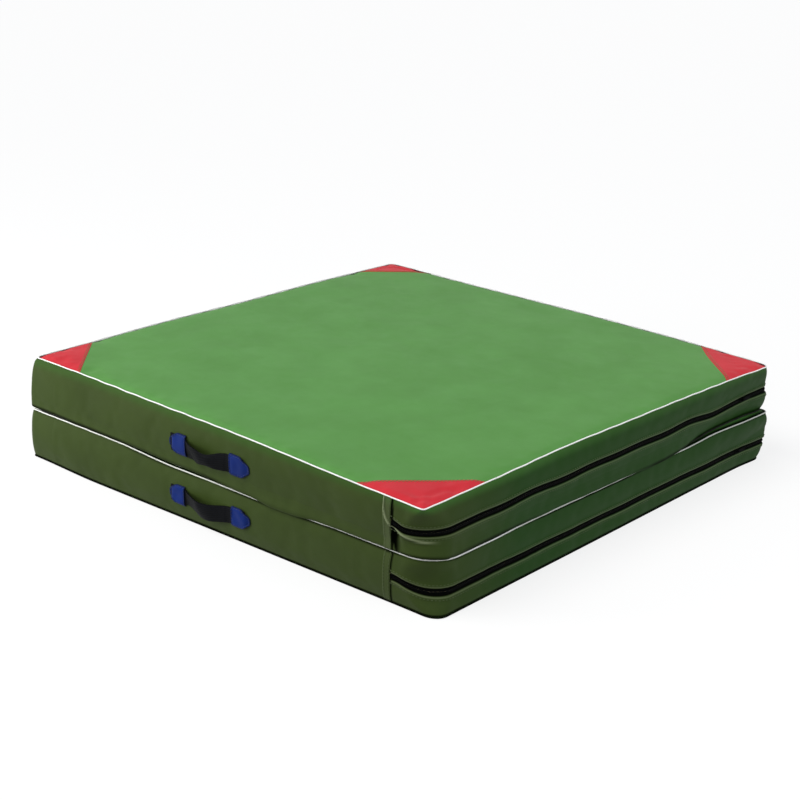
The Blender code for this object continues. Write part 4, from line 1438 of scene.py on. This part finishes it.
handles = {
    "strapWidth": 0.030,
    "strap": 0.0020,
    "standoff": 0.0125,
    "droop": 0.0045,
    "sewn": 0.033,  # length under a patch
    "patchShoulder": 0.56,  # of a patch's length, from its mouth
    "patchHeight": 0.0378,
    "patchTip": 0.012,
    # by hand each patch was cut a little differently: how far its mouth moves in, and its length
    "patchCut": {
        "upper_hinge": (0.0070, 0.0435), "upper_zip": (0.0, 0.0480),
        "lower_hinge": (0.0038, 0.0412), "lower_zip": (-0.0030, 0.0430),
    },
    "follow": 0.028,  # from the patch to where the webbing moves with the handle
    "clear": 0.012,  # the webbing takes its place on the side no nearer than this to a seam
    "overWebbing": 0.0025,  # how far a patch stands off over the webbing
    "seamHalf": (0.0188, 0.0150),  # half the height of that raised part, at its foot and top
    "patchRow": 0.88,  # its row of stitches, as a share of the way out from its middle
    "rimLift": 0.0006,  # how far its rim stands up
    "rowSink": 0.0004,  # how deep the stitches pull it in
}


def facePlace(panel, side, x, height, out):
    # A place over a handle side, by x, height and distance out of its face.
    around = frontAround(x) if side == "front" else backAround(x)
    return heightPoint(panel, around, height, out)


# How use has shaped each panel's front webbing: size, place along it and width of each bell
worn = {
    "upper": {
        "narrow": ((-0.42, 0.008, 0.021),), "arch": ((0.0035, 0.006, 0.024),),
        "turn": ((0.30, -0.032, 0.020), (-0.25, 0.030, 0.022)), "drop": ((0.0035, -0.046, 0.022),),
        "archShare": 0.0,
    },
    "lower": {
        "narrow": ((-0.22, -0.040, 0.014),), "arch": (),
        "turn": ((0.25, -0.020, 0.030), (-0.1, 0.034, 0.02)), "drop": ((0.0020, 0.020, 0.030),),
        "archShare": 0.0020,
    },
}


def strapCourse(panel, side, along):
    # Distance out, drop, width share, arch and turn of the webbing at a place along it.
    half = panel.handleSpan / 2
    share = np.where(np.abs(along) < half, (1 + np.cos(math.pi * along / half)) / 2, 0)
    use = worn[panel.name]
    drop = handles["droop"] * share + sumOfBells(use["drop"], along)
    arch = use["archShare"] * share + sumOfBells(use["arch"], along)
    narrow, turn = sumOfBells(use["narrow"], along), sumOfBells(use["turn"], along)
    if side == "back":
        narrow, turn = -0.12 * share, -0.4 * turn
    fade = smooth(half, half - 0.012, np.abs(along))
    return handles["standoff"] * share, drop, 1 + narrow * fade, arch * fade, turn * fade


def makeStrapHalf(panel, side, end):
    way, sign = signs[side], signs[end]
    half = panel.handleSpan / 2
    free = np.concatenate([np.linspace(0, 0.012, 8), np.linspace(0.012, half, 34)[1:]])
    along = np.concatenate([half - free[::-1], np.linspace(half, half + handles["sewn"], 12)[1:]])
    across = np.linspace(-1, 1, 13)
    position, edge = np.meshgrid(sign * along, across)
    out, drop, width, arch, turn = strapCourse(panel, side, position)
    reachOut = cover["gap"] + handles["strap"] / 2 + out + arch * (1 - edge**2)
    offset = handles["strapWidth"] / 2 * edge * width
    height = panel.handleHeight - drop + offset * np.cos(turn)
    reachOut = reachOut + offset * np.sin(turn) + 0.0006 * (out > 0.001)
    x = panel.handleX + position
    onFace = np.clip(height, panel.bottom + handles["clear"], panel.top - handles["clear"])
    points = facePlace(panel, side, x, onFace, 0.0)
    points[..., 1] += way * reachOut
    points[..., 2] += height - onFace
    uvs = np.stack((position + 1.0, offset), axis=-1)
    normals = gridNormals(points, False)
    normals = normals * np.sign((normals[..., 1] * way).mean())
    thick = handles["strap"]
    piece = shell(
        f"{panel.name}_{side}_webbing_{end}", points + normals * thick / 2, uvs, thick,
        materials.webbing, normals=normals, sharp=60,
    )
    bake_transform(piece)
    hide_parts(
        f"{panel.name}_{side}_handle_strap", f"{panel.name}_{side}_strap_end_{end}"
    )


def roundedPentagon(length):
    # Outline of a patch from the webbing's mouth: (along, up), with softly rounded corners.
    half, tip = handles["patchHeight"] / 2, handles["patchTip"] / 2
    shoulder = handles["patchShoulder"] * length
    corners = [
        (0, -half, 0.0015), (shoulder, -half, 0.006), (length, -tip, 0.004),
        (length, tip, 0.004), (shoulder, half, 0.006), (0, half, 0.0015),
    ]
    found = []
    for i, (x, y, radius) in enumerate(corners):
        here = np.array((x, y))
        before = np.array(corners[i - 1][:2]) - here
        after = np.array(corners[(i + 1) % len(corners)][:2]) - here
        start = here + before / np.linalg.norm(before) * radius
        end = here + after / np.linalg.norm(after) * radius
        for s in np.linspace(0, 1, 6):
            found.append((1 - s) ** 2 * start + 2 * s * (1 - s) * here + s * s * end)
        following = np.array(corners[(i + 1) % len(corners)])
        target = following[:2] - after / np.linalg.norm(after) * following[2]
        steps = max(2, round(float(np.linalg.norm(target - end)) / 0.003))
        for s in np.linspace(0, 1, steps + 1)[1:-1]:
            found.append(end + (target - end) * s)
    return np.array(found)


def overWebbing(length, along, up):
    # How far a patch stands off over the webbing that it covers.
    raised = smooth(*handles["seamHalf"], np.abs(up))
    return handles["overWebbing"] * raised * smooth(length - 0.004, handles["sewn"] - 0.0015, along)


def makePatch(panel, side, end):
    way, sign = signs[side], signs[end]
    moveIn, length = handles["patchCut"][f"{panel.name}_{end}"]
    rim = roundedPentagon(length)
    centre = np.array((0.42 * length, 0.0))
    scales = np.array((1.0, 0.985, 0.96, 0.93, 0.89, 0.84, 0.76, 0.66, 0.54, 0.40, 0.25, 0.12, 0.0))
    flat = centre + (rim[None] - centre) * scales[:, None, None]
    along, up = flat[..., 0], flat[..., 1]
    rimLift = handles["rimLift"] * (smooth(0.86, 0.93, scales) * smooth(1.01, 0.985, scales))[:, None]
    sink = -handles["rowSink"] * bell(scales - 0.84, 0.04)[:, None]
    seed = 71 + 3 * panel.outerIsTop + (end == "zip")
    ground = cover["gap"] + cover["fabric"]
    out = ground + overWebbing(length, along, up) + rimLift + sink
    out = out + 0.0005 * ripple(seed, 0.03, along, up) * (scales < 0.85)[:, None]
    mouth = panel.handleSpan / 2 - moveIn
    x = panel.handleX + sign * (mouth + along)
    height = panel.handleHeight + up
    points = facePlace(panel, side, x, height, out)
    normals = np.zeros_like(points)
    normals[..., 1] = way
    uvs = np.stack((along, up), axis=-1)
    # Painted shade: the rim darkens towards the patch's edge.
    tint = 0.9 * smooth(0.90, 0.97, scales)
    piece = shell(
        f"{panel.name}_{side}_handle_patch_{end}", points, uvs, cover["fabric"], materials.blue,
        wrap=True, normals=normals, tint=tint[:, None] + 0 * along,
    )
    settlePiece(piece, panel.body, "blue_vinyl", f"{panel.name}_{side}_patch_{end}")
    ring = centre + (np.concatenate([rim, rim[:1]]) - centre) * handles["patchRow"]
    ringX = panel.handleX + sign * (mouth + ring[:, 0])
    ringOut = ground + overWebbing(length, ring[:, 0], ring[:, 1]) + stitchRise
    line = facePlace(panel, side, ringX, panel.handleHeight + ring[:, 1], ringOut)
    addStitches(panel.body, "blackThread", line, np.tile((0.0, float(way), 0.0), (len(line), 1)))


# Hinge strip, foam and sewing

hinge = {
    "hem": (0.0075, 0.0060),  # from the strip's edge: foot and top of its hem
    "hemRaise": 0.0005,
    "waves": (0.0004, 0.09),  # height and length
    # Rows of stitches from each edge. Those of the two halves pass beside each other when it opens.
    "rows": {"lower": (0.0030, 0.0090), "upper": (-0.0060, -0.0120)},
}


def makeHingeStrip():
    low = np.array(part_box("lower_hinge_leaf")[0])
    high = np.array(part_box("upper_hinge_leaf")[1])
    close = np.array((0.0004, 0.0008, 0.0012, 0.0017, 0.0024, 0.0034, 0.005))
    heights = np.concatenate([
        np.linspace(low[2], foldHeight - 0.007, 12), foldHeight - close[::-1], (foldHeight,),
        foldHeight + close, np.linspace(foldHeight + 0.007, high[2], 12),
    ])
    ends = np.linspace(high[1], low[1], 121)
    y, z = np.meshgrid(ends, heights)
    inside = np.minimum(np.minimum(z - low[2], high[2] - z), np.minimum(high[1] - y, y - low[1]))
    hem = smooth(*hinge["hem"], inside) * smooth(-0.0005, 0.001, inside)
    height, length = hinge["waves"]
    lift = cover["gap"] + hinge["hemRaise"] * hem
    lift = lift + height * ripple(81, length, y, z) * smooth(0, 0.01, inside)
    points = settle(np.stack((low[0] - np.maximum(lift, 0.0), y, z), axis=-1))
    piece = shell(
        "fabric_hinge_strip", points, np.stack((y, z), axis=-1), cover["fabric"], materials.olive,
        tint=0.3 * smooth(0.0065, 0.0045, inside),
    )
    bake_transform(piece)
    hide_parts("lower_hinge_leaf", "upper_hinge_leaf")
    outward = np.tile((-1.0, 0.0, 0.0), (len(ends) - 4, 1))
    for name, edge in (("lower", low[2]), ("upper", high[2])):
        for offset in hinge["rows"][name]:
            height = np.full(len(ends) - 4, edge + offset)
            line = np.stack((np.full_like(height, low[0] - 0.0009), ends[2:-2], height), axis=-1)
            addStitches(f"{name}_panel", "oliveThread", settle(line), outward)


foam = {
    "inset": 0.0048,  # in from the cover's side
    "bevel": 0.004,  # of the outer face's edge
    "below": 0.0028,  # from the outer face to the surface of the sheet over it
}


def makeFoam(panel):
    around = aroundValues(0, 4, 0.03, 0.01)[:-1]
    for which in ("base", "top"):
        low, high = (np.array(end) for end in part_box(f"{panel.name}_foam_{which}"))
        levels = np.linspace(low[2], high[2] - (panel.crown if which == "top" else 0) * 0.9, 9)
        rings = []
        for level in levels:
            share = np.clip(shareAt(panel, around, level), 0.02, 0.98)
            outer = level == (levels[0] if which == "base" else levels[-1])
            x, y = plainSide(panel, around, share, -foam["inset"] - (foam["bevel"] if outer else 0))
            rings.append(np.stack((x, y, np.full_like(x, level)), axis=-1))
        # The outer face follows the sheet over it.
        face = rings[-1] if which == "top" else rings[0]
        for scale in (0.93, 0.8, 0.65, 0.5, 0.3, 0.1):
            x, y = face[:, 0] * scale, face[:, 1] * scale
            surface = topAt(panel, x, y) if which == "top" else panel.bottom + 0 * x
            height = surface + foam["below"] * (-1 if which == "top" else 1)
            rings.insert(len(rings) if which == "top" else 0, np.stack((x, y, height), axis=-1))
        points = settle(np.array(rings))
        rows, columns = points.shape[:2]
        faces = gridFaces(rows, columns, wrap=True).tolist()
        faces.append(list(range(columns))[::-1])
        faces.append(list(range((rows - 1) * columns, rows * columns)))
        mesh = bpy.data.meshes.new(f"{panel.name}_foam_plank_{which}")
        mesh.from_pydata(points.reshape(-1, 3).tolist(), [], faces)
        mesh.shade_smooth()
        mesh.set_sharp_from_angle(angle=math.radians(40))
        mesh.materials.append(materials.foam)
        piece = addObject(mesh.name, mesh)
        settlePiece(piece, panel.body, "foam", f"{panel.name}_foam_{which}")


def makeStitches():
    for (body, thread), lines in stitchLines.items():
        piece = piecesAlong(
            f"{body}_stitching_{thread}", lines, getattr(materials, thread),
            # stitches 3 mm long in the real seams, drawn 4.5 mm so that they show
            {"Pitch": 0.0062, "Length": 0.0045, "Width": 0.0010, "Height": 0.0009, "Slant": 0.08},
        )
        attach(piece, body)


for panel in panels:
    print(f"{panel.name} panel: cover")
    makeSheet(panel, "outer")
    makeSheet(panel, "inner")
    for end in ("hinge", "zip"):
        for side in ("front", "back"):
            makeCornerPatch(panel, end, side)
    makePlainGusset(panel)
    makeZipGussets(panel)
    makePiping(panel)
    print(f"{panel.name} panel: zip and handles")
    makeZip(panel)
    for side in ("front", "back"):
        for end in ("hinge", "zip"):
            makeStrapHalf(panel, side, end)
            makePatch(panel, side, end)
    makeFoam(panel)
    for node in ("zip_slider", "zip_pull"):
        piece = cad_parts[f"{panel.name}_{node}"]
        piece.data.materials.clear()
        piece.data.materials.append(materials.slider)
print("hinge strip and stitching")
makeHingeStrip()
makeStitches()


# Studio floor, light and camera

def shownToEye(tree):
    # 1 for the rays that show the white surroundings: straight on, in a shine or through a piece.
    path = addNode(tree, "ShaderNodeLightPath").outputs
    seen = combined(tree, "MAXIMUM", path["Is Camera Ray"], path["Is Glossy Ray"])
    return combined(tree, "MAXIMUM", seen, path["Is Transmission Ray"])


def mixedShader(tree, share, first, second):
    inputs = {0: share, 1: first.outputs[0], 2: second.outputs[0]}
    return addNode(tree, "ShaderNodeMixShader", inputs)


def makeFloor():
    mesh = bpy.data.meshes.new("studio_floor")
    reachOut = 12.0
    corners = [(-1, -1), (1, -1), (1, 1), (-1, 1)]
    mesh.from_pydata([(x * reachOut, y * reachOut, -0.0004) for x, y in corners], [], [(0, 1, 2, 3)])
    floor = addObject(mesh.name, mesh)
    made = bpy.data.materials.new("matt_white_floor_paint")
    made.use_nodes = True
    tree = made.node_tree
    tree.nodes.clear()
    # Darker to the light that it throws back, so that the lower panel stays in shade.
    painted = addNode(tree, "ShaderNodeBsdfDiffuse", {"Color": toLinear("8c8c8a")})
    pale = addNode(tree, "ShaderNodeBsdfDiffuse", {"Color": toLinear("ffffff")})
    glow = addNode(tree, "ShaderNodeEmission", {"Color": toLinear("ffffff"), "Strength": 1.0})
    both = mixedShader(tree, shownToEye(tree), painted, mixedShader(tree, 0.78, pale, glow))
    addNode(tree, "ShaderNodeOutputMaterial", {"Surface": both.outputs[0]})
    mesh.materials.append(made)


light = {
    "ambient": 0.50,
    "sun": 1.63,
    "sunFrom": (-0.30, -0.62, 0.95),  # towards the lamp
    "sunSoftness": 35,  # degrees
    # Two large soft panels: place, size and power
    "panels": (((-1.6, -1.9, 0.55), 1.2, 40.5), ((2.9, -0.4, 1.1), 1.6, 24.0)),
}


def makeLamp(name, kind, energy, towards):
    lamp = bpy.data.lights.new(name, kind)
    lamp.energy = energy
    obj = addObject(name, lamp)
    obj.rotation_euler = Vector(towards).to_track_quat("Z", "Y").to_euler()
    return obj


def makeLight():
    world = bpy.data.worlds.new("soft_studio")
    world.use_nodes = True
    bpy.context.scene.world = world
    tree = world.node_tree
    tree.nodes.clear()
    ambient = addNode(
        tree, "ShaderNodeBackground", {"Color": toLinear("f4f8ff"), "Strength": light["ambient"]}
    )
    white = addNode(tree, "ShaderNodeBackground", {"Color": toLinear("ffffff"), "Strength": 1.0})
    both = mixedShader(tree, shownToEye(tree), ambient, white)
    addNode(tree, "ShaderNodeOutputWorld", {"Surface": both.outputs[0]})
    sun = makeLamp("large_softbox", "SUN", light["sun"], light["sunFrom"]).data
    sun.angle = math.radians(light["sunSoftness"])
    sun.color = (1.0, 0.985, 0.95)
    for i, (place, size, power) in enumerate(light["panels"]):
        towards = Vector(place) - Vector((0, 0, foldHeight))
        softPanel = makeLamp(f"soft_panel_{i}", "AREA", power, towards)
        softPanel.data.size = size
        softPanel.location = place
        softPanel.visible_glossy = False


viewpoint = {
    "place": (1.971, -2.176, 1.181),
    "azimuth": -42.32,
    "down": 19.97,
    "roll": 1.25,
    "lens": 72.72,
}


def makeCamera():
    azimuth, down, roll = (math.radians(viewpoint[key]) for key in ("azimuth", "down", "roll"))
    ahead = Vector((
        math.sin(azimuth) * math.cos(down), math.cos(azimuth) * math.cos(down), -math.sin(down)
    ))
    level = ahead.cross(Vector((0, 0, 1))).normalized()
    rise = level.cross(ahead)
    right = math.cos(roll) * level + math.sin(roll) * rise
    up = -math.sin(roll) * level + math.cos(roll) * rise
    data = bpy.data.cameras.new("camera")
    data.lens = viewpoint["lens"]
    data.sensor_width = 36
    data.clip_end = 50
    camera = addObject("camera", data)
    turned = Matrix((right, up, -ahead)).transposed().to_4x4()
    camera.matrix_world = Matrix.Translation(viewpoint["place"]) @ turned
    bpy.context.scene.camera = camera


makeFloor()
makeLight()
makeCamera()
bpy.context.scene.view_settings.view_transform = "Standard"
